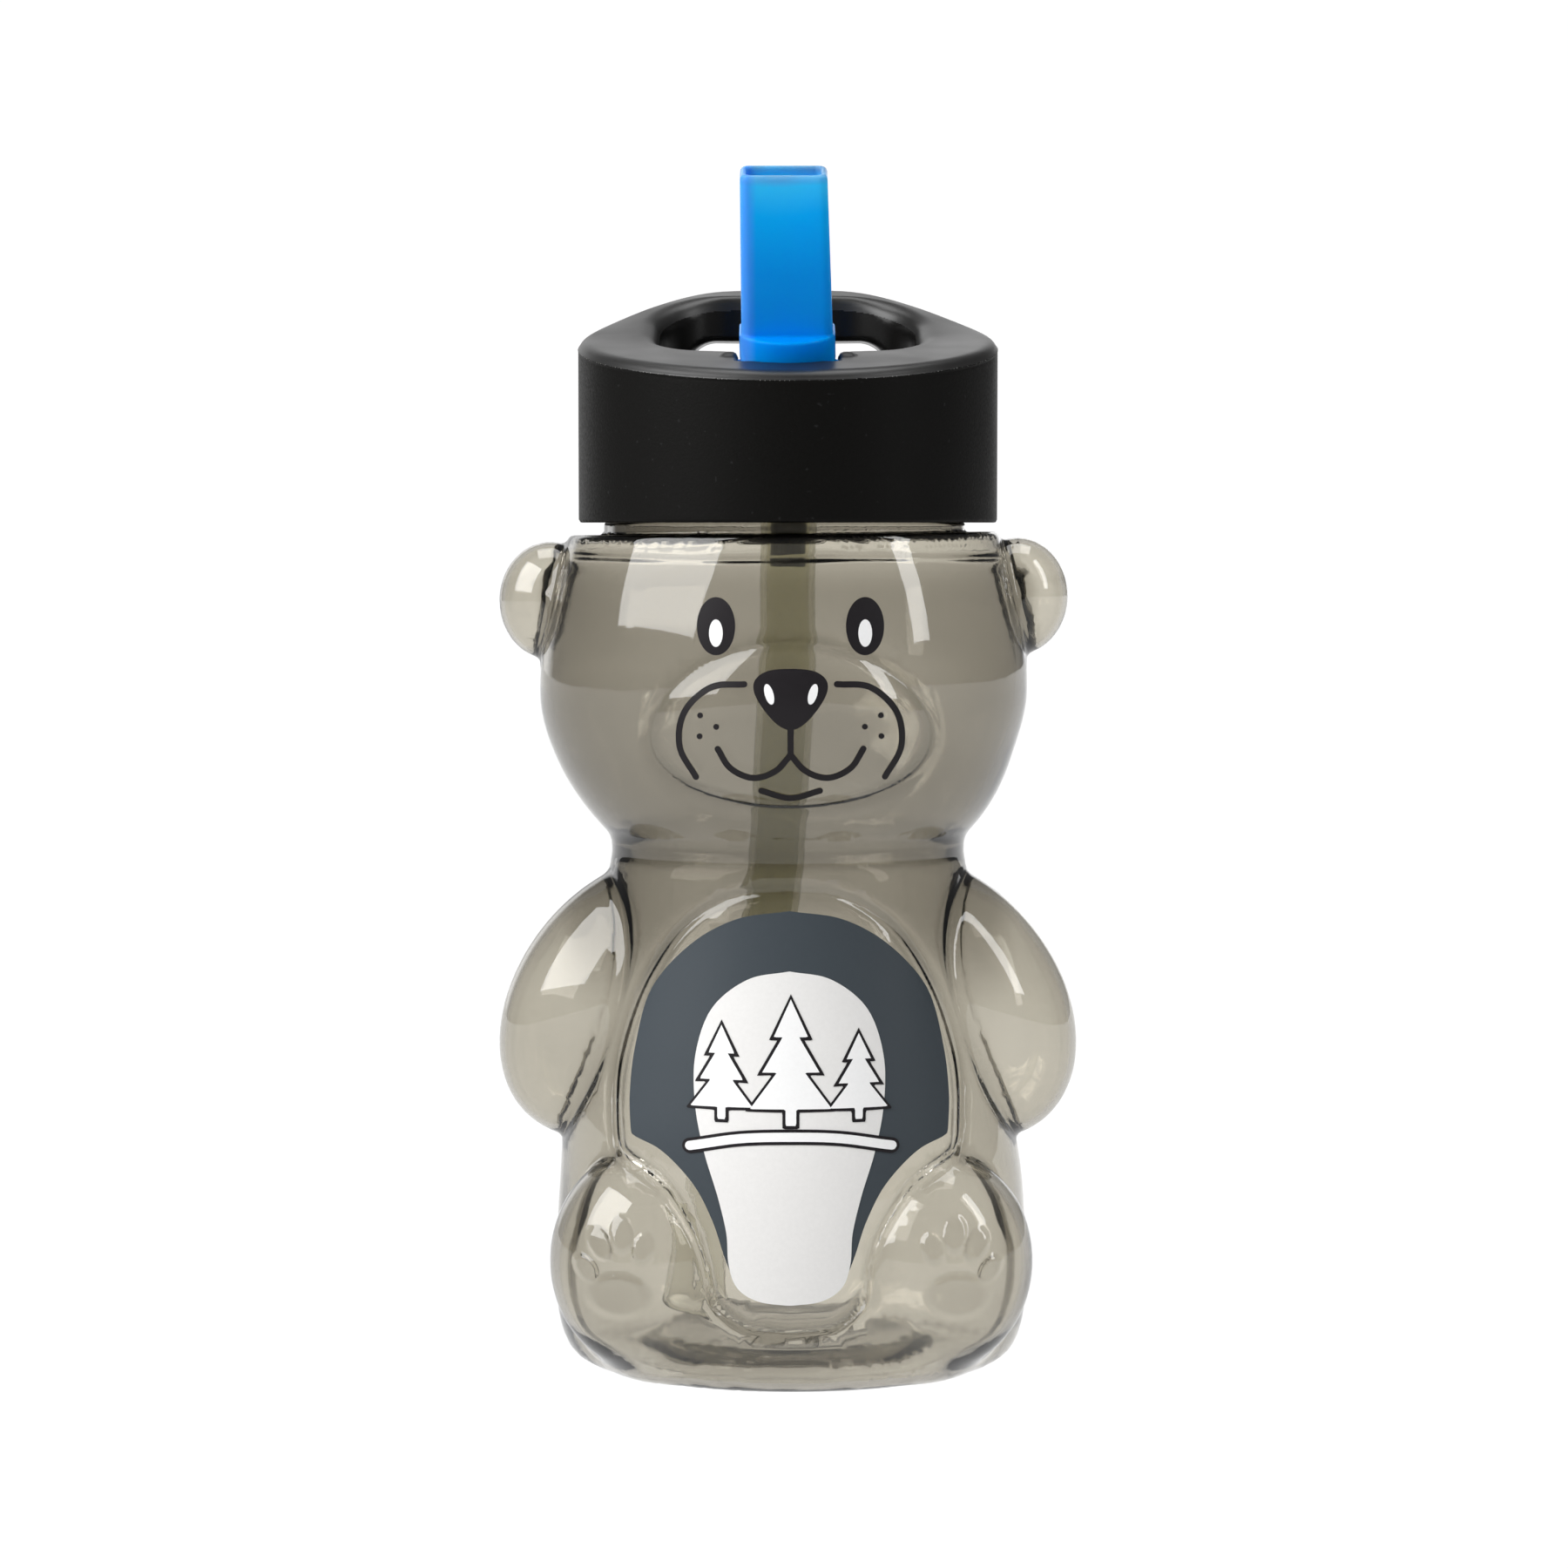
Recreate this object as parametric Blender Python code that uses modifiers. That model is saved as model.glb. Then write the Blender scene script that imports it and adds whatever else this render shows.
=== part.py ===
"""A child's bear-shaped straw bottle: blown bottle, screw lid with a carry loop, fold-down spout, straw."""

import math

import bmesh
import bpy
import numpy as np
from mathutils import Matrix, Vector

MM = 0.001

# Neck and its single-start right-hand thread
NECK_RADIUS = 25.9 * MM
NECK_WALL = 1.6 * MM
NECK_HEIGHT = 15.0 * MM
NECK_ROOT = 4.0 * MM
COLLAR_WIDTH = 1.35 * MM
COLLAR_HEIGHT = 1.9 * MM
THREAD_PITCH = 4.0 * MM
THREAD_DEPTH = 1.2 * MM
THREAD_ROOT_WIDTH = 1.7 * MM
THREAD_CREST_WIDTH = 0.8 * MM
THREAD_START = 5.6 * MM
NECK_THREAD_TURNS = 1.2
LID_THREAD_TURNS = 1.0
THREAD_RUN_OUT_TURNS = 0.06
THREAD_FIRST_ANGLE = math.radians(93.0)

# Clearances between pieces
TOUCH_GAP = 0.3 * MM
THREAD_GAP = 0.4 * MM
CUT_OVERRUN = 2.0 * MM
WELD_DISTANCE = 0.001 * MM

# Bottle: heights stand above the table, and half widths are measured across the front
BOTTLE_WALL = 1.2 * MM
DEPTH_SHARE = 0.9
SHOULDER_HEIGHT = 125.0 * MM
SHOULDER_LEDGE = 7.6 * MM
SHOULDER_EDGE = 2.2 * MM
CHEEK_DROP = 23.3 * MM
CHEEK_SWELL = 3.3 * MM
HEAD_LENGTH = 46.6 * MM
NECKLINE_WAIST = 10.5 * MM
HIP_SWELL = 9.3 * MM
STANDING_INSET = 4.6 * MM
STANDING_RING_WIDTH = 7.0 * MM
PUSH_UP_FLANK = 3.0 * MM
PUSH_UP_DEPTH = 2.4 * MM
SHOULDER_HALF_WIDTH = NECK_RADIUS + SHOULDER_LEDGE
CHEEK_HALF_WIDTH = SHOULDER_HALF_WIDTH + CHEEK_SWELL
CHEEK_HEIGHT = SHOULDER_HEIGHT - CHEEK_DROP
NECKLINE_HALF_WIDTH = CHEEK_HALF_WIDTH - NECKLINE_WAIST
NECKLINE_HEIGHT = SHOULDER_HEIGHT - HEAD_LENGTH
HIP_HALF_WIDTH = NECKLINE_HALF_WIDTH + HIP_SWELL
STANDING_HALF_WIDTH = HIP_HALF_WIDTH - STANDING_INSET
PUSH_UP_HALF_WIDTH = STANDING_HALF_WIDTH - STANDING_RING_WIDTH - PUSH_UP_FLANK

# Torso outline below the neckline, as shares of the hip half width and of the neckline height
TORSO_OUTLINE_SHARES = (
    (0.775, 0.945),
    (0.832, 0.870),
    (0.885, 0.760),
    (0.930, 0.600),
    (0.972, 0.450),
    (0.996, 0.300),
    (1.004, 0.140),
    (0.988, 0.070),
    (0.945, 0.022),
)

# Ears, arms, feet and muzzle are hollow swellings of the same wall, set in from the blank's sides
EAR_INSET = 6.3 * MM
EAR_DROP = 9.0 * MM
EAR_TOP_DROP = 1.4 * MM
EAR_RADII = (12.2 * MM, 6.5 * MM, 12.2 * MM)
ARM_INSET = 11.6 * MM
ARM_FORWARD = 1.0 * MM
ARM_DROP = 23.4 * MM
ARM_RADII = (17.0 * MM, 14.0 * MM, 24.0 * MM)
ARM_TILT = math.radians(38.0)
FOOT_SIDE_INSET = 14.0 * MM
FOOT_FRONT_INSET = 12.04 * MM
FOOT_CLEARANCE = 3.8 * MM
FOOT_RADII = (12.1 * MM, 13.6 * MM, 16.7 * MM)
MUZZLE_FRONT_INSET = 9.12 * MM
MUZZLE_DROP = 5.0 * MM
MUZZLE_RADII = (20.0 * MM, 10.9 * MM, 11.9 * MM)
EAR_CENTRE = (CHEEK_HALF_WIDTH - EAR_INSET, 0.0, SHOULDER_HEIGHT - EAR_DROP)
EAR_TOP_HEIGHT = SHOULDER_HEIGHT - EAR_TOP_DROP
ARM_CENTRE = (HIP_HALF_WIDTH - ARM_INSET, -ARM_FORWARD, NECKLINE_HEIGHT - ARM_DROP)
FOOT_CENTRE = (
    HIP_HALF_WIDTH - FOOT_SIDE_INSET,
    FOOT_FRONT_INSET - HIP_HALF_WIDTH * DEPTH_SHARE,
    FOOT_RADII[2] + FOOT_CLEARANCE,
)
MUZZLE_CENTRE = (
    0.0,
    MUZZLE_FRONT_INSET - CHEEK_HALF_WIDTH * DEPTH_SHARE,
    CHEEK_HEIGHT - MUZZLE_DROP,
)

# Lid liner: the threaded inner cap and its deck
LINER_WALL = 1.3 * MM
LINER_RECESS = 0.6 * MM
DECK_THICKNESS = 1.6 * MM
GASKET_THICKNESS = 1.2 * MM
GASKET_OVERHANG = 0.7 * MM
POCKET_DEPTH = 3.2 * MM
POCKET_RADIUS = 4.5 * MM
POCKET_FLOOR = 1.7 * MM
OUTLET_BOSS_WALL = 1.5 * MM
OUTLET_BORE_RADIUS = 1.6 * MM
NIPPLE_WALL = 1.0 * MM
NIPPLE_LENGTH = 19.4 * MM
OUTLET_BOSS_RADIUS = POCKET_RADIUS + OUTLET_BOSS_WALL
OUTLET_BOSS_DEPTH = POCKET_DEPTH + POCKET_FLOOR - DECK_THICKNESS
NIPPLE_RADIUS = OUTLET_BORE_RADIUS + NIPPLE_WALL
LINER_BORE = NECK_RADIUS + THREAD_DEPTH + THREAD_GAP + TOUCH_GAP
LINER_RADIUS = LINER_BORE + LINER_WALL
LIP_Z = SHOULDER_HEIGHT + NECK_HEIGHT
GASKET_Z = LIP_Z + TOUCH_GAP
DECK_LOW_Z = GASKET_Z + GASKET_THICKNESS + TOUCH_GAP
DECK_TOP_Z = DECK_LOW_Z + DECK_THICKNESS

# Spout and its hinge
HINGE_INSET = 16.0 * MM
BARREL_RADIUS = 4.8 * MM
BARREL_LIFT = 1.0 * MM
TRUNNION_RADIUS = 2.0 * MM
TRUNNION_ENGAGEMENT = 1.4 * MM
HINGE_BOSS_WALL = 1.1 * MM
SPOUT_LEAN = math.radians(18.5)
SPOUT_LENGTH = 29.3 * MM
SPOUT_WIDTH = 13.5 * MM
SPOUT_DEPTH = 7.8 * MM
SPOUT_CORNER = 1.8 * MM
SPOUT_TAPER_SHARE = 0.955
SPOUT_WALL = 1.1 * MM
SPOUT_FLOOR_HEIGHT = 6.0 * MM
SPOUT_COLLAR_MARGIN = 0.25 * MM
SPOUT_COLLAR_NOSE = 3.4 * MM
SPOUT_COLLAR_LOW = 3.5 * MM
SPOUT_COLLAR_HIGH = 7.1 * MM
SPOUT_COLLAR_WIDTH = SPOUT_WIDTH + 2 * SPOUT_COLLAR_MARGIN
SPOUT_COLLAR_FRONT = SPOUT_DEPTH / 2 + SPOUT_COLLAR_NOSE
BARREL_LENGTH = SPOUT_WIDTH - TOUCH_GAP
HINGE_BOSS_RADIUS = TRUNNION_RADIUS + TOUCH_GAP + HINGE_BOSS_WALL

# Lid shell: a domed ring with a finger well, a slot for the spout and a loop over the back
SKIRT_GAP = 1.7 * MM
SHELL_WALL = 2.1 * MM
SHELL_TOP_WALL = 2.2 * MM
SHELL_EDGE = 1.3 * MM
TOP_TILT = math.radians(10.7)
WELL_DEPTH = 10.75 * MM
WELL_WALL = 1.7 * MM
WELL_SIDE_INSET = 12.0 * MM
WELL_BACK_INSET = 9.5 * MM
WELL_FRONT_SETBACK = 3.5 * MM
WELL_FRONT_CORNER = 5.0 * MM
WELL_BACK_CORNER = 9.0 * MM
NOTCH_CLEARANCE = 1.7 * MM
LOOP_RISE = 3.55 * MM
LOOP_START = 11.5 * MM
LOOP_FOOT_INSET = 0.5 * MM
LOOP_CROWN_X = 12.0 * MM
WINDOW_INSET = 4.0 * MM
WINDOW_SILL = 1.0 * MM
WINDOW_RISE = 0.75 * MM
WINDOW_CORNER = 4.5 * MM
WINDOW_LOW_CORNER = 1.0 * MM
BACK_WALL_CORNER = 0.3 * MM
SHELL_RADIUS = LINER_RADIUS + TOUCH_GAP + SHELL_WALL
SKIRT_Z = SHOULDER_HEIGHT + SKIRT_GAP
SHELL_TOP_Z = DECK_TOP_Z + WELL_DEPTH
HINGE_Y = HINGE_INSET - SHELL_RADIUS
HINGE_Z = DECK_TOP_Z + BARREL_RADIUS + BARREL_LIFT
WELL_LOW_Z = DECK_TOP_Z + TOUCH_GAP
WELL_HALF_WIDTH = SHELL_RADIUS - WELL_SIDE_INSET
WELL_FRONT_Y = HINGE_Y + WELL_FRONT_SETBACK
WELL_BACK_Y = SHELL_RADIUS - WELL_BACK_INSET
NOTCH_HALF_WIDTH = SPOUT_COLLAR_WIDTH / 2 + TOUCH_GAP
NOTCH_FRONT_Y = HINGE_Y - BARREL_RADIUS - NOTCH_CLEARANCE
LOOP_FRONT_Y = HINGE_Y + LOOP_START
LOOP_FOOT_X = SHELL_RADIUS - LOOP_FOOT_INSET
WINDOW_HALF_WIDTH = WELL_HALF_WIDTH - WINDOW_INSET
WINDOW_TOP_Z = SHELL_TOP_Z + WINDOW_RISE
ABOVE_LID_Z = SHELL_TOP_Z + LOOP_RISE + SHELL_RADIUS

# Vent valve in the deck
VALVE_SETBACK = 13.0 * MM
VALVE_STEM_RADIUS = 1.3 * MM
VALVE_BULB_RADIUS = 2.4 * MM
VALVE_BULB_HEIGHT = 1.8 * MM
VALVE_UMBRELLA_RADIUS = 4.2 * MM
VALVE_UMBRELLA_DEPTH = 1.2 * MM
VALVE_Y = WELL_BACK_Y - VALVE_SETBACK

# Straw: a tube pushed over the nipple, which bends towards one side of the floor
STRAW_FIT_GAP = 0.5 * MM
STRAW_WALL = 0.95 * MM
STRAW_FOOT_SIDE_INSET = 20.6 * MM
STRAW_FOOT_FORWARD = 0.4 * MM
STRAW_FOOT_CLEARANCE = 4.0 * MM
STRAW_RADIUS = NIPPLE_RADIUS + STRAW_FIT_GAP + STRAW_WALL
STRAW_TOP = (0.0, HINGE_Y, DECK_LOW_Z - OUTLET_BOSS_DEPTH - TOUCH_GAP)
STRAW_FOOT = (
    STRAW_FOOT_SIDE_INSET - HIP_HALF_WIDTH,
    -STRAW_FOOT_FORWARD,
    PUSH_UP_DEPTH + BOTTLE_WALL + STRAW_FOOT_CLEARANCE,
)

# Its route, as shares of the way from top to foot across, back and down
STRAW_ROUTE_SHARES = (
    (0.0, 0.0, 0.0),
    (0.0, 0.0, 0.08),
    (0.0, 0.0, 0.16),
    (0.01, 0.02, 0.25),
    (0.05, 0.07, 0.35),
    (0.11, 0.17, 0.46),
    (0.21, 0.30, 0.56),
    (0.37, 0.46, 0.66),
    (0.57, 0.63, 0.77),
    (0.77, 0.80, 0.87),
    (1.0, 1.0, 1.0),
)
STRAW_STEPS_PER_STRETCH = 3

# Face counts
BODY_STEPS = 46
HOLLOW_STEPS = 34
LID_STEPS = 60
SMALL_STEPS = 20
CORNER_STEPS = 4
THREAD_STEPS_PER_TURN = 30
OUTER_SWELLING_FACES = (22, 14)
INNER_SWELLING_FACES = (14, 10)

COLOURS = {
    "bottle_body": ((0.115, 0.12, 0.12), 0.12),
    "lid_shell": ((0.02, 0.02, 0.021), 0.5),
    "lid_liner": ((0.022, 0.022, 0.023), 0.4),
    "lid_gasket": ((0.6, 0.62, 0.63), 0.5),
    "flip_spout": ((0.0, 0.2, 0.72), 0.25),
    "spout_seal": ((0.62, 0.64, 0.65), 0.5),
    "straw_tube": ((0.22, 0.22, 0.2), 0.3),
    "vent_valve": ((0.62, 0.64, 0.65), 0.5),
}


# Scene and objects


def clear_scene():
    for obj in list(bpy.data.objects):
        bpy.data.objects.remove(obj, do_unlink=True)


def new_collection(name):
    collection = bpy.data.collections.new(name)
    bpy.context.scene.collection.children.link(collection)
    return collection


clear_scene()
PARTS = new_collection("straw_bottle")
CUTTERS = new_collection("cutters")


def object_from_bmesh(name, bm):
    bmesh.ops.recalc_face_normals(bm, faces=bm.faces)
    mesh = bpy.data.meshes.new(name)
    bm.to_mesh(mesh)
    bm.free()
    obj = bpy.data.objects.new(name, mesh)
    CUTTERS.objects.link(obj)
    return obj


def combine(target, tool, operation):
    tool.hide_render = True
    tool.display_type = "WIRE"
    modifier = target.modifiers.new(tool.name, "BOOLEAN")
    modifier.operation = operation
    modifier.object = tool
    modifier.solver = "EXACT"


def join(target, tool):
    combine(target, tool, "UNION")


def cut(target, tool):
    combine(target, tool, "DIFFERENCE")


def finish_part(obj):
    """Moves the object to the parts, names it and gives it its material."""
    colour, roughness = COLOURS[obj.name]
    CUTTERS.objects.unlink(obj)
    PARTS.objects.link(obj)
    material = bpy.data.materials.new(obj.name)
    material.use_nodes = True
    shader = material.node_tree.nodes["Principled BSDF"]
    shader.inputs["Base Color"].default_value = (*colour, 1.0)
    shader.inputs["Roughness"].default_value = roughness
    shader.inputs["Metallic"].default_value = 0.0
    obj.data.materials.append(material)
    obj.data.shade_smooth()
    obj.data.set_sharp_from_angle(angle=math.radians(35.0))
    return obj


# Shapes


def turned(name, profile, steps, depth_share=1.0):
    """A solid of revolution about Z. The profile of (radius, height) points runs from top to bottom."""
    bm = bmesh.new()
    verts = [bm.verts.new((radius, 0.0, height)) for radius, height in profile]
    for first, second in zip(verts, verts[1:]):
        bm.edges.new((first, second))
    mesh = bpy.data.meshes.new(name)
    bm.to_mesh(mesh)
    bm.free()
    obj = bpy.data.objects.new(name, mesh)
    CUTTERS.objects.link(obj)
    screw = obj.modifiers.new("turn", "SCREW")
    screw.steps = steps
    screw.render_steps = steps
    screw.use_merge_vertices = True
    screw.merge_threshold = WELD_DISTANCE
    obj = real_mesh(obj)
    for vert in obj.data.vertices:
        vert.co.y *= depth_share
    return obj


def real_mesh(obj):
    """Replaces a curve or modified object by its evaluated mesh, with loose caps welded."""
    bpy.context.view_layer.update()
    graph = bpy.context.evaluated_depsgraph_get()
    mesh = bpy.data.meshes.new_from_object(obj.evaluated_get(graph))
    name = obj.name
    matrix = obj.matrix_world.copy()
    bpy.data.objects.remove(obj)
    bm = bmesh.new()
    bm.from_mesh(mesh)
    bpy.data.meshes.remove(mesh)
    bmesh.ops.remove_doubles(bm, verts=bm.verts, dist=WELD_DISTANCE)
    new = object_from_bmesh(name, bm)
    new.matrix_world = matrix
    return new


def ellipsoid(name, centre, radii, tilt, faces):
    """An ellipsoid, turned about Y by the tilt, with the given faces round and from pole to pole."""
    bm = bmesh.new()
    place = Matrix.Translation(Vector(centre))
    place = place @ Matrix.Rotation(tilt, 4, "Y") @ Matrix.Diagonal((*radii, 1.0))
    bmesh.ops.create_uvsphere(
        bm, u_segments=faces[0], v_segments=faces[1], radius=1.0, matrix=place
    )
    return object_from_bmesh(name, bm)


def cylinder(name, radius, low, high, centre=(0.0, 0.0), steps=SMALL_STEPS, along="Z"):
    """A cylinder along Z or X, from low to high on that axis, centred on the other two coordinates."""
    bm = bmesh.new()
    middle = (low + high) / 2
    turn = Matrix.Identity(4)
    place = Matrix.Translation((centre[0], centre[1], middle))
    if along == "X":
        turn = Matrix.Rotation(math.pi / 2, 4, "Y")
        place = Matrix.Translation((middle, centre[0], centre[1]))
    bmesh.ops.create_cone(
        bm,
        cap_ends=True,
        segments=steps,
        radius1=radius,
        radius2=radius,
        depth=high - low,
        matrix=place @ turn,
    )
    return object_from_bmesh(name, bm)


def rounded_outline(left, right, front, back, front_corner, back_corner):
    """A rectangle with round corners, as points that run anticlockwise."""
    corners = (
        (right - front_corner, front + front_corner, front_corner, -1),
        (right - back_corner, back - back_corner, back_corner, 0),
        (left + back_corner, back - back_corner, back_corner, 1),
        (left + front_corner, front + front_corner, front_corner, 2),
    )
    points = []
    for x, y, radius, quarters in corners:
        for step in range(CORNER_STEPS + 1):
            turn = math.pi / 2 * (quarters + step / CORNER_STEPS)
            points.append((x + radius * math.cos(turn), y + radius * math.sin(turn)))
    return points


def prism(name, outline, low, high, upright=False):
    """An outline in XY raised along Z, or, when upright, an outline in XZ stretched along Y."""
    curve = bpy.data.curves.new(name, "CURVE")
    curve.dimensions = "2D"
    curve.fill_mode = "BOTH"
    curve.extrude = (high - low) / 2
    spline = curve.splines.new("POLY")
    spline.points.add(len(outline) - 1)
    for point, (x, y) in zip(spline.points, outline):
        point.co = (x, y, 0.0, 1.0)
    spline.use_cyclic_u = True
    obj = bpy.data.objects.new(name, curve)
    CUTTERS.objects.link(obj)
    if upright:
        obj.rotation_euler = (math.pi / 2, 0.0, 0.0)
        obj.location = (0.0, (low + high) / 2, 0.0)
    else:
        obj.location = (0.0, 0.0, (low + high) / 2)
    return real_mesh(obj)


def helical_ridge(name, root_radius, crest_radius, start_height, turns):
    """A thread ridge that climbs anticlockwise and fades into its wall at both ends."""
    steps = round(turns * THREAD_STEPS_PER_TURN)
    bury = CUT_OVERRUN / 4 * (1 if root_radius > crest_radius else -1)
    bm = bmesh.new()
    rings = []
    for step in range(steps + 1):
        turned_by = turns * step / steps
        angle = THREAD_FIRST_ANGLE + math.tau * turned_by
        height = start_height + THREAD_PITCH * turned_by
        from_end = min(turned_by, turns - turned_by)
        rise = min(1.0, from_end / THREAD_RUN_OUT_TURNS)
        crest = root_radius + bury + (crest_radius - root_radius - bury) * rise
        section = (
            (root_radius + bury, -THREAD_ROOT_WIDTH / 2),
            (crest, -THREAD_CREST_WIDTH / 2),
            (crest, THREAD_CREST_WIDTH / 2),
            (root_radius + bury, THREAD_ROOT_WIDTH / 2),
        )
        if rise == 0.0:
            section = (section[0], section[3])
        rings.append(
            [
                bm.verts.new((radius * math.cos(angle), radius * math.sin(angle), height + lift))
                for radius, lift in section
            ]
        )
    for ring, following in zip(rings, rings[1:]):
        bridge_rings(bm, ring, following)
    return object_from_bmesh(name, bm)


def bridge_rings(bm, ring, following):
    """Faces between two closed sections, where the first or the last section may be a bare edge."""
    if len(ring) == 2:
        low, high = ring
        bm.faces.new((low, following[0], following[1]))
        bm.faces.new((low, following[1], following[2], high))
        bm.faces.new((high, following[2], following[3]))
        bm.faces.new((high, following[3], following[0], low))
        return
    if len(following) == 2:
        bridge_rings(bm, following, ring)
        return
    for i in range(len(ring)):
        j = (i + 1) % len(ring)
        bm.faces.new((ring[i], ring[j], following[j], following[i]))


# Bottle


def blank_outline():
    """Half outline of head and torso at the front, from the middle of the shoulder to the middle of the base."""
    edge_z = SHOULDER_HEIGHT - SHOULDER_EDGE
    edge_x = SHOULDER_HALF_WIDTH - SHOULDER_EDGE
    points = [(0.0, SHOULDER_HEIGHT)]
    for angle in np.linspace(math.pi / 2, 0.0, 4):
        points.append(
            (edge_x + SHOULDER_EDGE * math.cos(angle), edge_z + SHOULDER_EDGE * math.sin(angle))
        )
    points += head_side(edge_z, CHEEK_HEIGHT, SHOULDER_HALF_WIDTH, 3)[1:]
    points += head_side(NECKLINE_HEIGHT, CHEEK_HEIGHT, NECKLINE_HALF_WIDTH, 6)[::-1][1:]
    for width_share, height_share in TORSO_OUTLINE_SHARES:
        points.append((HIP_HALF_WIDTH * width_share, NECKLINE_HEIGHT * height_share))
    ring_inside = STANDING_HALF_WIDTH - STANDING_RING_WIDTH
    points += [
        (STANDING_HALF_WIDTH, 0.0),
        (ring_inside, 0.0),
        (PUSH_UP_HALF_WIDTH, PUSH_UP_DEPTH / 2),
        (0.0, PUSH_UP_DEPTH),
    ]
    return points


def head_side(end_z, cheek_z, end_half_width, count):
    """An elliptical arc of the head's side from its given end to the cheek."""
    reach = abs(end_z - cheek_z)
    semi_height = reach / math.sqrt(1.0 - (end_half_width / CHEEK_HALF_WIDTH) ** 2)
    points = []
    for share in np.linspace(1.0, 0.0, count + 1):
        distance = reach * share
        half_width = CHEEK_HALF_WIDTH * math.sqrt(1.0 - (distance / semi_height) ** 2)
        points.append((half_width, cheek_z + distance * (1 if end_z > cheek_z else -1)))
    return points


def inset_outline(points, wall):
    """The outline moved inwards by the wall, with its ends kept on the axis."""
    moved = []
    for i, (x, z) in enumerate(points):
        before = points[max(i - 1, 0)]
        after = points[min(i + 1, len(points) - 1)]
        along = Vector((after[0] - before[0], after[1] - before[1])).normalized()
        moved.append((max(x + along.y * wall, 0.0), z - along.x * wall))
    moved[0] = (0.0, points[0][1] - wall)
    moved[-1] = (0.0, points[-1][1] + wall)
    return moved


def swellings(prefix, inset, faces):
    """Ears, arms, feet and muzzle, each smaller by the inset."""
    made = []
    for side_name, side in (("left", -1), ("right", 1)):
        shapes = (
            ("ear", EAR_CENTRE, EAR_RADII, 0.0),
            ("arm", ARM_CENTRE, ARM_RADII, -ARM_TILT),
            ("foot", FOOT_CENTRE, FOOT_RADII, 0.0),
        )
        for shape_name, centre, radii, tilt in shapes:
            obj = ellipsoid(
                f"{prefix}_{side_name}_{shape_name}",
                (side * centre[0], centre[1], centre[2]),
                [radius - inset for radius in radii],
                side * tilt,
                faces,
            )
            if shape_name == "ear":
                for vert in obj.data.vertices:
                    vert.co.z = min(vert.co.z, EAR_TOP_HEIGHT - inset)
            made.append(obj)
    muzzle_radii = [radius - inset for radius in MUZZLE_RADII]
    made.append(ellipsoid(f"{prefix}_muzzle", MUZZLE_CENTRE, muzzle_radii, 0.0, faces))
    return made


def make_bottle_body():
    outline = blank_outline()
    body = turned("bottle_body", outline, BODY_STEPS, DEPTH_SHARE)
    for swelling in swellings("outer", 0.0, OUTER_SWELLING_FACES):
        join(body, swelling)
    collar_radius = NECK_RADIUS + COLLAR_WIDTH
    neck = turned(
        "neck",
        [
            (0.0, LIP_Z),
            (NECK_RADIUS, LIP_Z),
            (NECK_RADIUS, SHOULDER_HEIGHT + COLLAR_HEIGHT),
            (collar_radius, SHOULDER_HEIGHT + COLLAR_HEIGHT),
            (collar_radius, SHOULDER_HEIGHT - BOTTLE_WALL / 2),
            (0.0, SHOULDER_HEIGHT - BOTTLE_WALL / 2),
        ],
        LID_STEPS,
    )
    join(body, neck)
    ridge = helical_ridge(
        "neck_thread",
        NECK_RADIUS,
        NECK_RADIUS + THREAD_DEPTH,
        SHOULDER_HEIGHT + THREAD_START,
        NECK_THREAD_TURNS,
    )
    join(body, ridge)
    hollow = turned("hollow", inset_outline(outline, BOTTLE_WALL), HOLLOW_STEPS, DEPTH_SHARE)
    cut(body, hollow)
    for swelling in swellings("inner", BOTTLE_WALL, INNER_SWELLING_FACES):
        cut(body, swelling)
    mouth = cylinder(
        "mouth",
        NECK_RADIUS - NECK_WALL,
        SHOULDER_HEIGHT - NECK_ROOT,
        LIP_Z + CUT_OVERRUN,
        steps=LID_STEPS,
    )
    cut(body, mouth)
    return finish_part(body)


# Lid


def smooth_share(value, low, high):
    """Eases from 0 at low to 1 at high."""
    share = min(max((value - low) / (high - low), 0.0), 1.0)
    return share * share * (3 - 2 * share)


def lid_top(x, y):
    """Height of the lid's sloping top, which swells into the carry loop at the back."""
    across = smooth_share(abs(x), LOOP_FOOT_X, LOOP_CROWN_X)
    along = smooth_share(y, LOOP_FRONT_Y, WELL_BACK_Y)
    return SHELL_TOP_Z + math.tan(TOP_TILT) * y + LOOP_RISE * across * along


def domed_blank(name, radius, bottom, lowered, edge):
    """A turned blank whose top face then takes the height of the lid's top, less a wall."""
    ring_shares = (0.0, 0.3, 0.5, 0.65, 0.78, 0.89)
    profile = [(radius * share, SHELL_TOP_Z) for share in ring_shares]
    profile += [
        (radius - edge, SHELL_TOP_Z),
        (radius - edge * (1 - math.sqrt(0.5)), SHELL_TOP_Z - edge * (1 - math.sqrt(0.5))),
        (radius, SHELL_TOP_Z - edge),
        (radius, bottom),
        (0.0, bottom),
    ]
    blank = turned(name, profile, LID_STEPS)
    for vert in blank.data.vertices:
        if vert.co.z > bottom + edge:
            vert.co.z += lid_top(vert.co.x, vert.co.y) - SHELL_TOP_Z - lowered
    return blank


def well_outline(grown):
    return rounded_outline(
        -WELL_HALF_WIDTH - grown,
        WELL_HALF_WIDTH + grown,
        WELL_FRONT_Y - grown,
        WELL_BACK_Y + grown,
        WELL_FRONT_CORNER + grown,
        WELL_BACK_CORNER + grown,
    )


def notch_outline(grown):
    """The slot in front of the finger well that the spout stands in."""
    half = NOTCH_HALF_WIDTH + grown
    front = NOTCH_FRONT_Y - grown
    back = WELL_FRONT_Y + WELL_FRONT_CORNER
    return [(-half, front), (half, front), (half, back), (-half, back)]


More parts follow.
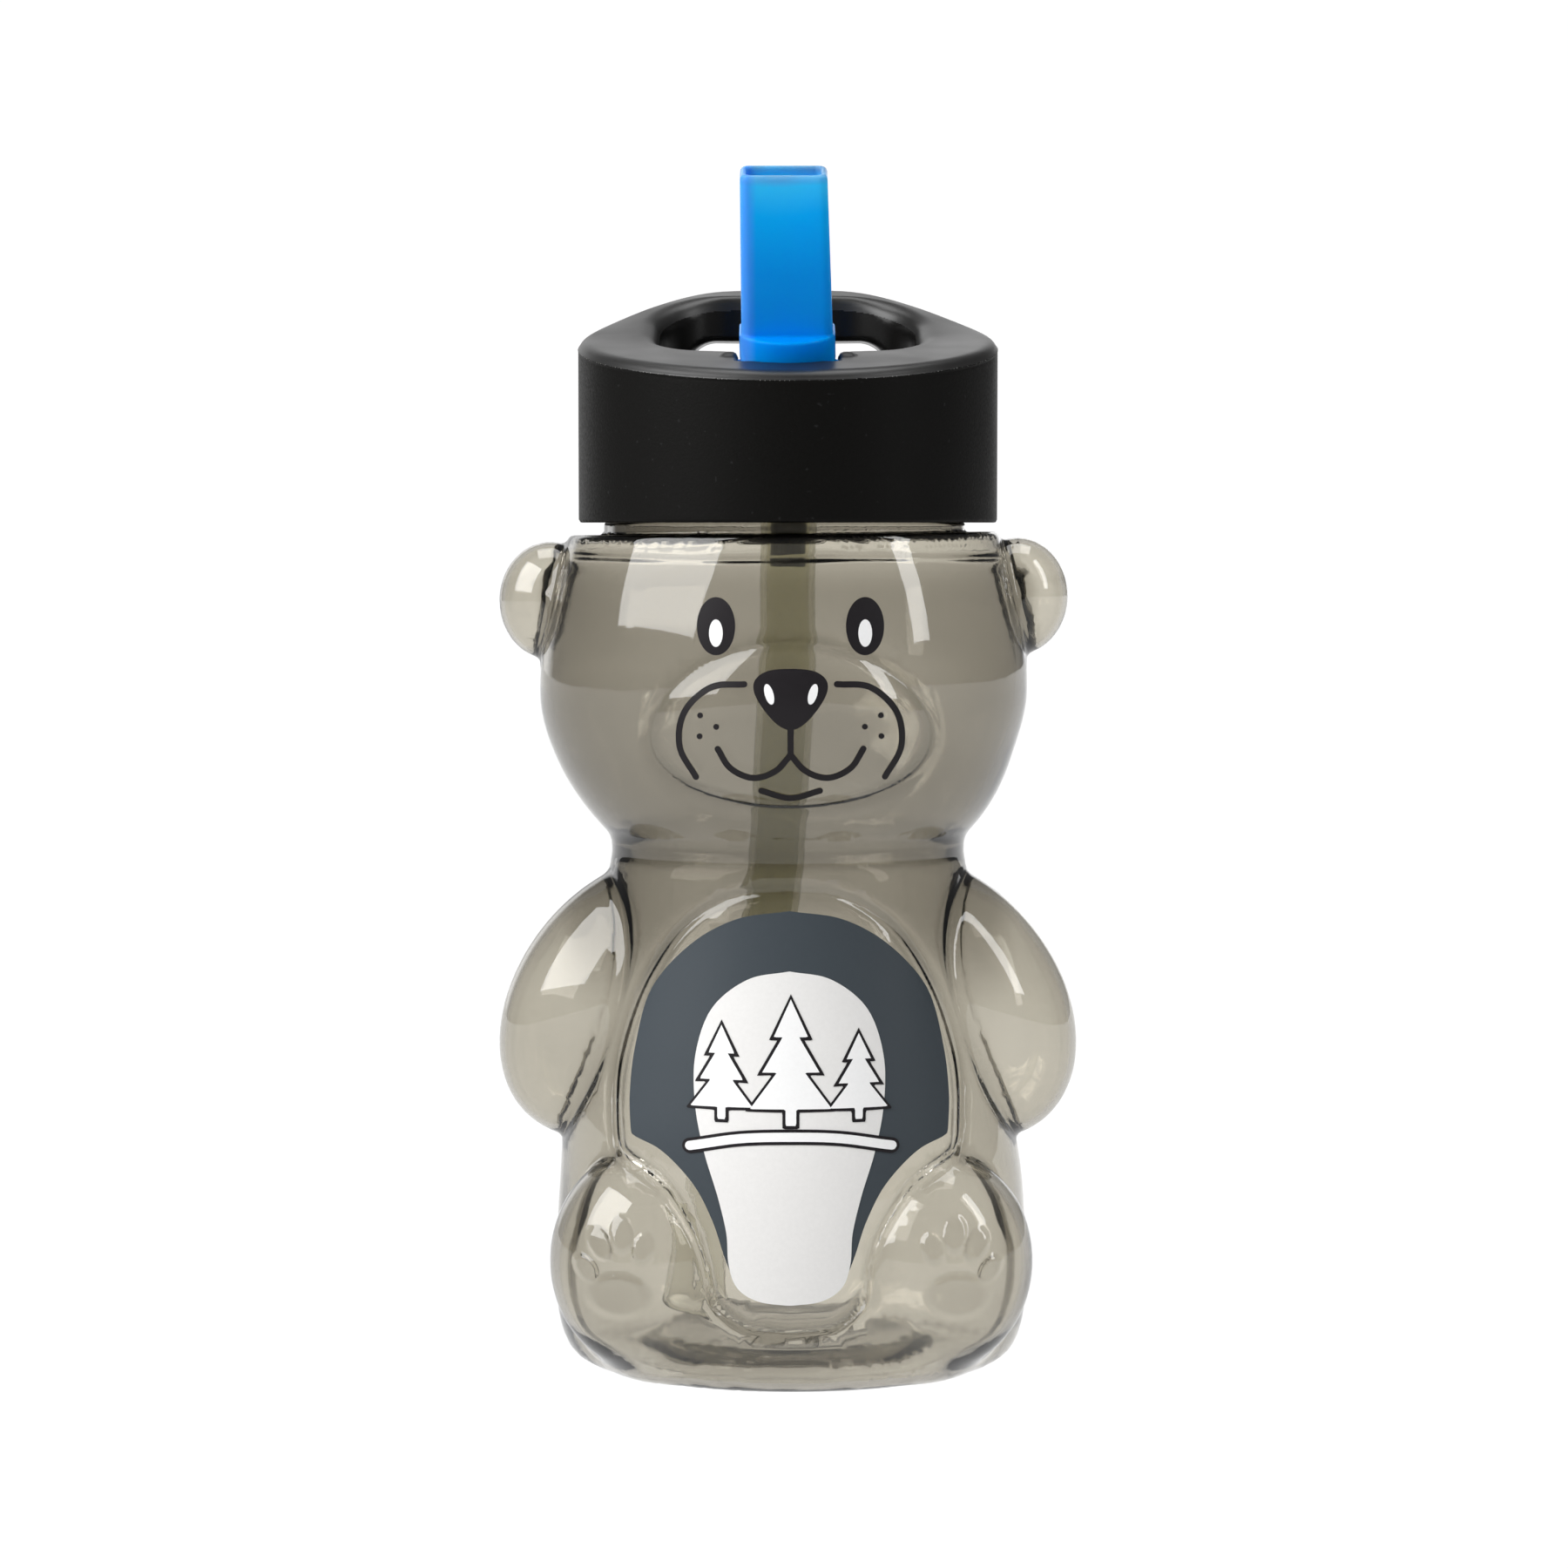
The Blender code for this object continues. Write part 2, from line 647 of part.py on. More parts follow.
def window_outline():
    """The opening under the carry loop, seen from the back, with round upper corners."""
    return rounded_outline(
        -WINDOW_HALF_WIDTH,
        WINDOW_HALF_WIDTH,
        WELL_LOW_Z + WINDOW_SILL,
        WINDOW_TOP_Z,
        WINDOW_LOW_CORNER,
        WINDOW_CORNER,
    )


def make_lid_shell():
    shell = domed_blank("lid_shell", SHELL_RADIUS, SKIRT_Z, 0.0, SHELL_EDGE)
    hollow_radius = SHELL_RADIUS - SHELL_WALL
    hollow = domed_blank(
        "shell_hollow", hollow_radius, SKIRT_Z - CUT_OVERRUN, SHELL_TOP_WALL, SHELL_EDGE
    )
    well_walls = prism("well_walls", well_outline(WELL_WALL), WELL_LOW_Z, ABOVE_LID_Z)
    notch_walls = prism("notch_walls", notch_outline(WELL_WALL), WELL_LOW_Z, ABOVE_LID_Z)
    back_wall = prism(
        "back_wall",
        rounded_outline(
            -WINDOW_HALF_WIDTH - WELL_WALL,
            WINDOW_HALF_WIDTH + WELL_WALL,
            WELL_BACK_Y - WELL_BACK_CORNER,
            SHELL_RADIUS + CUT_OVERRUN,
            BACK_WALL_CORNER,
            BACK_WALL_CORNER,
        ),
        WELL_LOW_Z,
        ABOVE_LID_Z,
    )
    for wall in (well_walls, notch_walls, back_wall):
        cut(hollow, wall)
    cut(shell, hollow)
    boss_reach = NOTCH_HALF_WIDTH + TRUNNION_ENGAGEMENT + HINGE_BOSS_WALL
    bosses = cylinder(
        "hinge_bosses", HINGE_BOSS_RADIUS, -boss_reach, boss_reach, (HINGE_Y, HINGE_Z), along="X"
    )
    join(shell, bosses)
    well_floor = WELL_LOW_Z - CUT_OVERRUN
    cut(shell, prism("well", well_outline(0.0), well_floor, ABOVE_LID_Z))
    cut(shell, prism("notch", notch_outline(0.0), well_floor, ABOVE_LID_Z))
    window = prism(
        "window",
        window_outline(),
        WELL_BACK_Y - WELL_BACK_CORNER,
        SHELL_RADIUS + CUT_OVERRUN,
        upright=True,
    )
    cut(shell, window)
    trunnion_reach = NOTCH_HALF_WIDTH + TRUNNION_ENGAGEMENT + TOUCH_GAP
    sockets = cylinder(
        "trunnion_sockets",
        TRUNNION_RADIUS + TOUCH_GAP,
        -trunnion_reach,
        trunnion_reach,
        (HINGE_Y, HINGE_Z),
        along="X",
    )
    cut(shell, sockets)
    return finish_part(shell)


def make_lid_liner():
    low = SKIRT_Z + LINER_RECESS
    liner = turned(
        "lid_liner",
        [
            (0.0, DECK_TOP_Z),
            (LINER_RADIUS, DECK_TOP_Z),
            (LINER_RADIUS, low),
            (LINER_BORE, low),
            (LINER_BORE, DECK_LOW_Z),
            (0.0, DECK_LOW_Z),
        ],
        LID_STEPS,
    )
    outlet = (0.0, HINGE_Y)
    boss_low = DECK_LOW_Z - OUTLET_BOSS_DEPTH
    nipple_low = boss_low - NIPPLE_LENGTH
    join(liner, cylinder("outlet_boss", OUTLET_BOSS_RADIUS, boss_low, DECK_TOP_Z - TOUCH_GAP, outlet))
    join(liner, cylinder("nipple", NIPPLE_RADIUS, nipple_low, boss_low + TOUCH_GAP, outlet))
    pocket_low = DECK_TOP_Z - POCKET_DEPTH
    cut(liner, cylinder("seal_pocket", POCKET_RADIUS, pocket_low, DECK_TOP_Z + CUT_OVERRUN, outlet))
    bore_low = nipple_low - CUT_OVERRUN
    cut(liner, cylinder("outlet_bore", OUTLET_BORE_RADIUS, bore_low, DECK_TOP_Z + CUT_OVERRUN, outlet))
    vent = cylinder(
        "vent_hole",
        VALVE_STEM_RADIUS + TOUCH_GAP,
        DECK_LOW_Z - CUT_OVERRUN,
        DECK_TOP_Z + CUT_OVERRUN,
        (0.0, VALVE_Y),
    )
    cut(liner, vent)
    ridge = helical_ridge(
        "lid_thread",
        LINER_BORE,
        NECK_RADIUS + THREAD_GAP,
        SHOULDER_HEIGHT + THREAD_START - THREAD_PITCH / 2,
        LID_THREAD_TURNS,
    )
    join(liner, ridge)
    return finish_part(liner)


def make_lid_gasket():
    outer = NECK_RADIUS + GASKET_OVERHANG
    inner = NECK_RADIUS - NECK_WALL - GASKET_OVERHANG
    gasket = cylinder("lid_gasket", outer, GASKET_Z, GASKET_Z + GASKET_THICKNESS, steps=LID_STEPS)
    top = GASKET_Z + GASKET_THICKNESS + CUT_OVERRUN
    cut(gasket, cylinder("gasket_bore", inner, GASKET_Z - CUT_OVERRUN, top, steps=LID_STEPS))
    return finish_part(gasket)


def make_vent_valve():
    bulb_z = DECK_TOP_Z + TOUCH_GAP
    umbrella_z = DECK_LOW_Z - TOUCH_GAP
    valve = turned(
        "vent_valve",
        [
            (0.0, bulb_z + VALVE_BULB_HEIGHT),
            (VALVE_BULB_RADIUS / 2, bulb_z + VALVE_BULB_HEIGHT),
            (VALVE_BULB_RADIUS, bulb_z + VALVE_BULB_HEIGHT / 2),
            (VALVE_BULB_RADIUS, bulb_z),
            (VALVE_STEM_RADIUS, bulb_z),
            (VALVE_STEM_RADIUS, umbrella_z),
            (VALVE_UMBRELLA_RADIUS, umbrella_z),
            (VALVE_UMBRELLA_RADIUS, umbrella_z - VALVE_UMBRELLA_DEPTH / 2),
            (VALVE_BULB_RADIUS, umbrella_z - VALVE_UMBRELLA_DEPTH),
            (0.0, umbrella_z - VALVE_UMBRELLA_DEPTH),
        ],
        SMALL_STEPS,
    )
    valve.location.y = VALVE_Y
    return finish_part(valve)


def make_spout_seal():
    """A silicone bush in the deck's pocket, hollowed on top to the round of the spout's barrel."""
    low = DECK_TOP_Z - POCKET_DEPTH + TOUCH_GAP
    high = HINGE_Z - BARREL_RADIUS + TOUCH_GAP
    outlet = (0.0, HINGE_Y)
    seal = cylinder("spout_seal", POCKET_RADIUS - TOUCH_GAP, low, high, outlet)
    saddle_reach = POCKET_RADIUS + CUT_OVERRUN
    saddle = cylinder(
        "saddle",
        BARREL_RADIUS + TOUCH_GAP,
        -saddle_reach,
        saddle_reach,
        (HINGE_Y, HINGE_Z),
        steps=LID_STEPS,
        along="X",
    )
    cut(seal, saddle)
    bore_top = high + CUT_OVERRUN
    cut(seal, cylinder("seal_bore", OUTLET_BORE_RADIUS, low - CUT_OVERRUN, bore_top, outlet))
    return finish_part(seal)


# Spout, built upright about its hinge and then leaned forward


def tapered_prism(name, width, depth, corner, low, high, top_share):
    section = rounded_outline(-width / 2, width / 2, -depth / 2, depth / 2, corner, corner)
    obj = prism(name, section, low, high)
    middle = (low + high) / 2
    for vert in obj.data.vertices:
        world_z = (obj.matrix_world @ vert.co).z
        if world_z > middle:
            vert.co.x *= top_share
            vert.co.y *= top_share
    return obj


def collar_outline():
    """A flat back and sides with a round front."""
    half = SPOUT_COLLAR_WIDTH / 2
    back = SPOUT_DEPTH / 2
    side_front = SPOUT_COLLAR_FRONT - SPOUT_CORNER
    points = [(half, back), (-half, back)]
    for angle in np.linspace(math.pi, math.tau, 2 * CORNER_STEPS + 1):
        x = half * math.cos(angle)
        y = -side_front / 2 + (SPOUT_COLLAR_FRONT - side_front / 2) * math.sin(angle)
        points.append((x, y))
    return points


def make_flip_spout():
    barrel_half = BARREL_LENGTH / 2
    spout = cylinder(
        "flip_spout", BARREL_RADIUS, -barrel_half, barrel_half, steps=LID_STEPS // 2, along="X"
    )
    trunnion_half = NOTCH_HALF_WIDTH + TRUNNION_ENGAGEMENT
    trunnions = cylinder("trunnions", TRUNNION_RADIUS, -trunnion_half, trunnion_half, along="X")
    tube = tapered_prism(
        "tube", SPOUT_WIDTH, SPOUT_DEPTH, SPOUT_CORNER, 0.0, SPOUT_LENGTH, SPOUT_TAPER_SHARE
    )
    collar = prism("collar", collar_outline(), SPOUT_COLLAR_LOW, SPOUT_COLLAR_HIGH)
    bore = tapered_prism(
        "spout_bore",
        SPOUT_WIDTH - 2 * SPOUT_WALL,
        SPOUT_DEPTH - 2 * SPOUT_WALL,
        SPOUT_CORNER - SPOUT_WALL / 2,
        SPOUT_FLOOR_HEIGHT,
        SPOUT_LENGTH + CUT_OVERRUN,
        SPOUT_TAPER_SHARE,
    )
    lean = Matrix.Translation((0.0, HINGE_Y, HINGE_Z)) @ Matrix.Rotation(SPOUT_LEAN, 4, "X")
    pieces = (spout, trunnions, tube, collar, bore)
    bpy.context.view_layer.update()
    for piece in pieces:
        piece.matrix_world = lean @ piece.matrix_world
    for piece in (trunnions, tube, collar):
        join(spout, piece)
    cut(spout, bore)
    channel = cylinder("spout_channel", OUTLET_BORE_RADIUS, -BARREL_RADIUS - CUT_OVERRUN, 0.0)
    channel.location = (0.0, HINGE_Y, HINGE_Z)
    cut(spout, channel)
    riser = cylinder("spout_riser", OUTLET_BORE_RADIUS, -OUTLET_BORE_RADIUS, SPOUT_FLOOR_HEIGHT + CUT_OVERRUN)
    riser.matrix_world = lean
    cut(spout, riser)
    return finish_part(spout)


# Straw


def smooth_route(route, steps):
    """Points on a Catmull-Rom curve through the route."""
    padded = [2 * route[0] - route[1], *route, 2 * route[-1] - route[-2]]
    smooth = []
    for a, b, c, d in zip(padded, padded[1:], padded[2:], padded[3:]):
        for step in range(steps):
            t = step / steps
            bend = (2 * a - 5 * b + 4 * c - d) * t**2 + (3 * b - a - 3 * c + d) * t**3
            smooth.append(b + ((c - a) * t + bend) / 2)
    smooth.append(route[-1])
    return smooth


def tube_along(name, points, radius):
    curve = bpy.data.curves.new(name, "CURVE")
    curve.dimensions = "3D"
    curve.bevel_depth = radius
    curve.bevel_resolution = 4
    curve.use_fill_caps = True
    spline = curve.splines.new("POLY")
    spline.points.add(len(points) - 1)
    for point, place in zip(spline.points, points):
        point.co = (*place, 1.0)
    obj = bpy.data.objects.new(name, curve)
    CUTTERS.objects.link(obj)
    return real_mesh(obj)


def make_straw_tube():
    top = np.array(STRAW_TOP)
    foot = np.array(STRAW_FOOT)
    stations = [top + (foot - top) * np.array(shares) for shares in STRAW_ROUTE_SHARES]
    route = smooth_route(stations, STRAW_STEPS_PER_STRETCH)
    straw = tube_along("straw_tube", route, STRAW_RADIUS)
    foot_run = (route[-1] - route[-2]) / np.linalg.norm(route[-1] - route[-2])
    lengthened = [
        route[0] + np.array((0.0, 0.0, CUT_OVERRUN)),
        *route[1:-1],
        route[-1] + foot_run * CUT_OVERRUN,
    ]
    cut(straw, tube_along("straw_bore", lengthened, STRAW_RADIUS - STRAW_WALL))
    return finish_part(straw)


make_bottle_body()
make_lid_gasket()
make_lid_liner()
make_lid_shell()
make_vent_valve()
make_spout_seal()
make_flip_spout()
make_straw_tube()
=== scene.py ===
"""A child's bear-shaped bottle of smoke plastic with a black screw lid, a blue spout and a straw."""

import math

import bmesh
import bpy
import numpy as np
from mathutils import Matrix, Vector
from mathutils.geometry import delaunay_2d_cdt


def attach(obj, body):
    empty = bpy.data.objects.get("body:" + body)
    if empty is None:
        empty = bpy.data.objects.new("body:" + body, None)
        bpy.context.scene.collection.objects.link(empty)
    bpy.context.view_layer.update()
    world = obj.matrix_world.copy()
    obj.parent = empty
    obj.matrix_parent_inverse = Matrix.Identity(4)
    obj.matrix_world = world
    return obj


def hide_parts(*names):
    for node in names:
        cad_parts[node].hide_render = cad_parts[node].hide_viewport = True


MM = 0.001

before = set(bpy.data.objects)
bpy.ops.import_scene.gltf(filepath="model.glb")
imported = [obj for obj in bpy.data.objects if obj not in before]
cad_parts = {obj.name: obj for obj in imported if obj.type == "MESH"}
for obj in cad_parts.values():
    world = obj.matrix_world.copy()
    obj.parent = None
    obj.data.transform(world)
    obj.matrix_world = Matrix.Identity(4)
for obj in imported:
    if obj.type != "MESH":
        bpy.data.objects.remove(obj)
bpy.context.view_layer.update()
scene = bpy.context.scene

# Sizes in millimetres, heights above the table, the neck's axis at the origin

NECK_RADIUS = 25.9
NECK_BORE = 24.3
COLLAR_RADIUS = 27.2
COLLAR_TOP = 126.9
SHOULDER = 125.1
LIP = 140.0
DEPTH_SHARE = 0.9

HEAD_TOP = 124.1
CHEEK = 101.7
CHEEK_WIDTH = 36.8
HEAD_TOP_WIDTH = 32.6
NECKLINE = 78.4
NECKLINE_WIDTH = 26.3

TORSO_SIDE = (
    (26.9, 75.6), (27.6, 70.0), (28.6, 64.0), (30.0, 57.0), (32.1, 47.0), (34.3, 35.3),
    (35.45, 23.5), (35.75, 11.0), (35.2, 5.5), (33.6, 1.7), (31.2, 0.0),
)
BASE_SIDE = ((24.6, 0.0), (23.0, 0.5), (21.4, 1.3), (18.6, 2.1), (13.0, 2.6), (0.0, 2.7))

# Centre, radii and tilt of a lobe
EAR = ((35.3, 0.0, 115.3), (7.6, 6.6, 8.8), 0.0)
ARM = ((24.0, -1.0, 55.0), (17.0, 14.0, 24.0), math.radians(-38.0))
FOOT = ((21.3, -20.0, 18.2), (14.3, 13.3, 16.4), 0.0)
# Middle across and up, half width and half height
MUZZLE = (0.4, 97.6, 20.6, 11.8)
MUZZLE_RISE = 1.68
BEAD = 121.4
NECK_START = 118.0
OUTER_CELL = 1.65
INNER_CELL = 1.9
HEAD_SHIFT = 0.65
HEAD_LEAN = 0.009


# Meshes


def placed(name, data):
    """A new object in the scene."""
    obj = bpy.data.objects.new(name, data)
    scene.collection.objects.link(obj)
    return obj


def mesh_piece(name, points_mm, faces, material, normals=None, corners=None):
    """A smooth mesh object with the true surface's normals, given for each point or each face's corner."""
    mesh = bpy.data.meshes.new(name)
    mesh.from_pydata((np.asarray(points_mm, float) * MM).tolist(), [], faces)
    obj = placed(name, mesh)
    mesh.shade_smooth()
    if normals is not None:
        mesh.normals_split_custom_set_from_vertices(normals.tolist())
    if corners is not None:
        mesh.normals_split_custom_set(corners.tolist())
    mesh.materials.append(material)
    return obj


def smooth_line(points, steps, closed=False):
    """Points on a Catmull-Rom curve through the given ones."""
    points = [np.asarray(p, float) for p in points]
    if closed:
        padded = [points[-1], *points, points[0], points[1]]
    else:
        padded = [2 * points[0] - points[1], *points, 2 * points[-1] - points[-2]]
    line = []
    for a, b, c, d in zip(padded, padded[1:], padded[2:], padded[3:]):
        for step in range(steps):
            t = step / steps
            bend = (2 * a - 5 * b + 4 * c - d) * t**2 + (3 * b - a - 3 * c + d) * t**3
            line.append(b + ((c - a) * t + bend) / 2)
    if not closed:
        line.append(points[-1])
    return np.array(line)


def even_line(points, spacing):
    """The same line with its points an even distance apart."""
    points = np.asarray(points, float)
    runs = np.linalg.norm(np.diff(points, axis=0), axis=1)
    along = np.concatenate([[0.0], np.cumsum(runs)])
    count = max(int(round(along[-1] / spacing)), 2)
    marks = np.linspace(0.0, along[-1], count + 1)
    return np.stack([np.interp(marks, along, points[:, i]) for i in range(points.shape[1])], axis=1)


# Distance fields: negative inside, in millimetres


def joined(a, b, blend):
    """Union with a fillet."""
    near = np.maximum(blend - np.abs(a - b), 0.0) / blend
    return np.minimum(a, b) - near * near * blend / 4


def common(a, b, blend):
    """Intersection with a rounded edge."""
    return -joined(-a, -b, blend)


def without(a, b, blend):
    """What is left of a once b is cut out of it."""
    return -joined(-a, b, blend)


def eased(value, low, high):
    """0 up to low and 1 from high on, with a soft way between. The two may be the other way round."""
    share = np.clip((value - low) / (high - low), 0.0, 1.0)
    return share * share * (3 - 2 * share)


def bell(value, width):
    """1 at zero, fading over a width to both sides."""
    return np.exp(-((value / width) ** 2))


def away(x, y):
    """How far from a plane's origin."""
    return np.sqrt(x * x + y * y)


def turned(u, v, angle):
    """Plane coordinates turned by an angle."""
    c, s = math.cos(angle), math.sin(angle)
    return c * u - s * v, s * u + c * v


def lobe(p, form):
    """An ellipsoid turned about Y."""
    centre, radii, tilt = form
    x, y, z = (p - centre).T
    x, z = turned(x, z, tilt)
    q = np.stack([x / radii[0], y / radii[1], z / radii[2]])
    k0 = np.sqrt((q**2).sum(0))
    k1 = np.sqrt(((q / np.array(radii)[:, None]) ** 2).sum(0)) + 1e-9
    return k0 * (k0 - 1.0) / k1


def outline_distance(x, y, line):
    """The signed distance from points to a closed outline in the plane."""
    best, inside = np.full(len(x), 1e9), np.zeros(len(x), bool)
    for a, b in zip(line, np.roll(line, -1, axis=0)):
        along, dx, dy = b - a, x - a[0], y - a[1]
        share = np.clip((dx * along[0] + dy * along[1]) / max(along @ along, 1e-12), 0.0, 1.0)
        crosses = (a[1] > y) != (b[1] > y)
        inside ^= crosses & (dx < dy * along[0] / (along[1] + 1e-12))
        dx, dy = dx - share * along[0], dy - share * along[1]
        best = np.minimum(best, dx * dx + dy * dy)
    return np.where(inside, -1.0, 1.0) * np.sqrt(best)


class PlaneField:
    """The signed distance to a closed outline in a plane, kept on a fine grid."""

    def __init__(self, line, low, high, step):
        self.low, self.step = np.asarray(low, float), step
        counts = [int(math.ceil((high[i] - low[i]) / step)) + 1 for i in range(2)]
        x, y = (low[i] + step * np.arange(counts[i]) for i in range(2))
        x, y = np.meshgrid(x, y, indexing="ij")
        self.grid = outline_distance(x.ravel(), y.ravel(), line).reshape(counts)

    def __call__(self, x, y):
        u = np.clip((x - self.low[0]) / self.step, 0.0, self.grid.shape[0] - 1.001)
        v = np.clip((y - self.low[1]) / self.step, 0.0, self.grid.shape[1] - 1.001)
        i, j = u.astype(int), v.astype(int)
        u, v = u - i, v - j
        g = self.grid
        return (g[i, j] * (1 - u) + g[i + 1, j] * u) * (1 - v) + (
            g[i, j + 1] * (1 - u) + g[i + 1, j + 1] * u
        ) * v


# Surfaces from fields


def field_grid(field, low, high, cell):
    """The field's values on a grid of cells."""
    counts = [int(math.ceil((high[i] - low[i]) / cell)) + 1 for i in range(3)]
    x, y = (low[i] + cell * np.arange(counts[i]) for i in range(2))
    gx, gy = np.meshgrid(x, y, indexing="ij")
    values = np.empty(counts, np.float32)
    slab = 12
    for k in range(0, counts[2], slab):
        z = low[2] + cell * np.arange(k, min(k + slab, counts[2]))
        columns = [np.repeat(gx.ravel(), len(z)), np.repeat(gy.ravel(), len(z)), np.tile(z, gx.size)]
        values[:, :, k : k + len(z)] = field(np.stack(columns, axis=1)).reshape(*gx.shape, len(z))
    return values


def net_surface(field, low, high, cell):
    """Points and quads on a field's zero level, open where the grid ends inside the form."""
    values = field_grid(field, low, high, cell)
    inside = values < 0
    total = inside.astype(np.int8)
    for axis in range(3):
        total = np.delete(total, 0, axis) + np.delete(total, -1, axis)
    cells = np.argwhere((total > 0) & (total < 8))
    number = np.full(total.shape, -1, np.int64)
    number[tuple(cells.T)] = np.arange(len(cells))
    places = np.zeros((len(cells), 3))
    hits = np.zeros(len(cells))
    for axis in range(3):
        for b, c in ((0, 0), (0, 1), (1, 0), (1, 1)):
            start, end = np.roll((0, b, c), axis), np.roll((1, b, c), axis)
            v0, v1 = (values[tuple((cells + corner).T)].astype(float) for corner in (start, end))
            crossing = (v0 < 0) != (v1 < 0)
            share = np.where(crossing, v0 / np.where(crossing, v0 - v1, 1.0), 0.0)
            places += np.where(crossing[:, None], start + share[:, None] * (end - start), 0.0)
            hits += crossing
    places = np.asarray(low) + cell * (cells + places / hits[:, None])
    quads = []
    for axis in range(3):
        edges = np.argwhere(np.diff(inside, axis=axis))
        sides = [(axis + 1) % 3, (axis + 2) % 3]
        last = np.array(total.shape)[sides]
        edges = edges[((edges[:, sides] > 0) & (edges[:, sides] < last)).all(axis=1)]
        around = [np.roll((0, *step), axis) for step in ((-1, -1), (0, -1), (0, 0), (-1, 0))]
        quad = np.stack([number[tuple((edges + step).T)] for step in around], axis=1)
        outward = inside[tuple(edges.T)]
        quads.append(np.where(outward[:, None], quad, quad[:, ::-1]))
    return places, np.concatenate(quads)


def slope(field, points, step=0.04):
    """The field's gradient."""
    grad = np.empty_like(points)
    for axis in range(3):
        shift = np.zeros(3)
        shift[axis] = step
        grad[:, axis] = (field(points + shift) - field(points - shift)) / (2 * step)
    return grad


def onto(field, points, limit):
    """The points moved along the slope onto the field's zero level."""
    value = field(points)
    grad = slope(field, points)
    move = value / np.maximum((grad**2).sum(1), 0.05)
    return points - grad * np.clip(move, -limit, limit)[:, None]


def edges_of(quads):
    """The quads' edges, and the points on an open rim."""
    pairs = np.sort(np.concatenate([quads[:, [i, (i + 1) % 4]] for i in range(4)]), axis=1)
    edges, uses = np.unique(pairs, axis=0, return_counts=True)
    return edges, np.unique(edges[uses == 1])


def settled(field, points, quads, cell, rounds):
    """Spreads the points evenly over the surface and keeps them on it. An open rim keeps its height."""
    edges, rim = edges_of(quads)
    count = np.bincount(edges.ravel(), minlength=len(points)).astype(float)
    for _ in range(rounds):
        mean = np.empty_like(points)
        for axis in range(3):
            total = np.bincount(edges[:, 0], points[edges[:, 1], axis], len(points))
            total += np.bincount(edges[:, 1], points[edges[:, 0], axis], len(points))
            mean[:, axis] = total / count
        moved = points + 0.55 * (mean - points)
        moved[rim] = points[rim]
        points = onto(field, moved, cell)
        points[rim, 2] = moved[rim, 2]
    return onto(field, points, cell)


def unit(vectors):
    return vectors / np.maximum(np.linalg.norm(vectors, axis=1), 1e-9)[:, None]


def refined(field, points, faces, chosen, cuts):
    """Splits the faces whose middles are chosen, and lays the new points on the field."""
    mesh = bpy.data.meshes.new("coarse")
    mesh.from_pydata(points.tolist(), [], faces)
    bm = bmesh.new()
    bm.from_mesh(mesh)
    bpy.data.meshes.remove(mesh)
    middles = np.array([face.calc_center_median() for face in bm.faces])
    edges = {edge for face, pick in zip(bm.faces, chosen(middles)) if pick for edge in face.edges}
    bmesh.ops.subdivide_edges(bm, edges=list(edges), cuts=cuts, use_grid_fill=True)
    bm.verts.index_update()
    finer = np.array([vert.co for vert in bm.verts])
    split = [[vert.index for vert in face.verts] for face in bm.faces]
    bm.free()
    new = finer[len(points) :]
    for _ in range(3):
        new = onto(field, new, 0.5)
    finer[: len(points)] = points
    finer[len(points) :] = new
    return finer, split


def rim_loop(quads, points):
    """The open rim's points in the order of their angle about the neck's axis."""
    _, loop = edges_of(quads)
    angle = np.arctan2(points[loop, 1], points[loop, 0]) % math.tau
    return loop[np.argsort(angle)]


def stitched(points, lower, upper, outward=True):
    """Triangles between two rims that go round the axis, by angle."""

    def angles(loop):
        found = np.unwrap(np.arctan2(points[loop, 1], points[loop, 0]))
        return np.append(found, found[0] + math.tau)

    a, b = angles(lower), angles(upper)
    shift = round((a[0] - b[0]) / math.tau) * math.tau
    b = b + shift
    i = j = 0
    faces = []
    while i < len(lower) or j < len(upper):
        here, there = lower[i % len(lower)], upper[j % len(upper)]
        if j >= len(upper) or (i < len(lower) and a[i + 1] <= b[j + 1]):
            faces.append((here, lower[(i + 1) % len(lower)], there))
            i += 1
        else:
            faces.append((here, upper[(j + 1) % len(upper)], there))
            j += 1
    return faces if outward else [face[::-1] for face in faces]


# Bottle


def blank_side():
    """The half outline of head, torso and base, from the middle of the shoulder to that of the base."""
    radius = SHOULDER - HEAD_TOP
    edge = HEAD_TOP_WIDTH - radius
    points = [(0.0, SHOULDER), (edge * 0.6, SHOULDER)]
    for a in np.linspace(math.pi / 2, 0.0, 9):
        points.append((edge + radius * math.cos(a), HEAD_TOP + radius * math.sin(a)))
    for end, width, shares in (
        (HEAD_TOP, HEAD_TOP_WIDTH, np.linspace(1.0, 0.0, 16)[1:]),
        (NECKLINE, NECKLINE_WIDTH, np.linspace(0.0, 1.0, 24)[1:]),
    ):
        reach = abs(end - CHEEK)
        tall = reach / math.sqrt(1.0 - (width / CHEEK_WIDTH) ** 2)
        way = 1 if end > CHEEK else -1
        for s in shares:
            points.append((CHEEK_WIDTH * math.sqrt(1.0 - (reach * s / tall) ** 2), CHEEK + way * reach * s))
    torso = smooth_line([(NECKLINE_WIDTH + 0.1, NECKLINE - 0.4), *TORSO_SIDE], 8)
    line = np.concatenate([np.array(points), torso, np.array(BASE_SIDE)])
    line = even_line(line, 0.5)
    for _ in range(14):
        near = bell(line[1:-1, 1] - NECKLINE, 2.2)[:, None] * 0.5
        near = np.maximum(near, bell(line[1:-1, 1], 1.6)[:, None] * 0.22)
        line[1:-1] += near * ((line[:-2] + line[2:]) / 2 - line[1:-1])
    return line


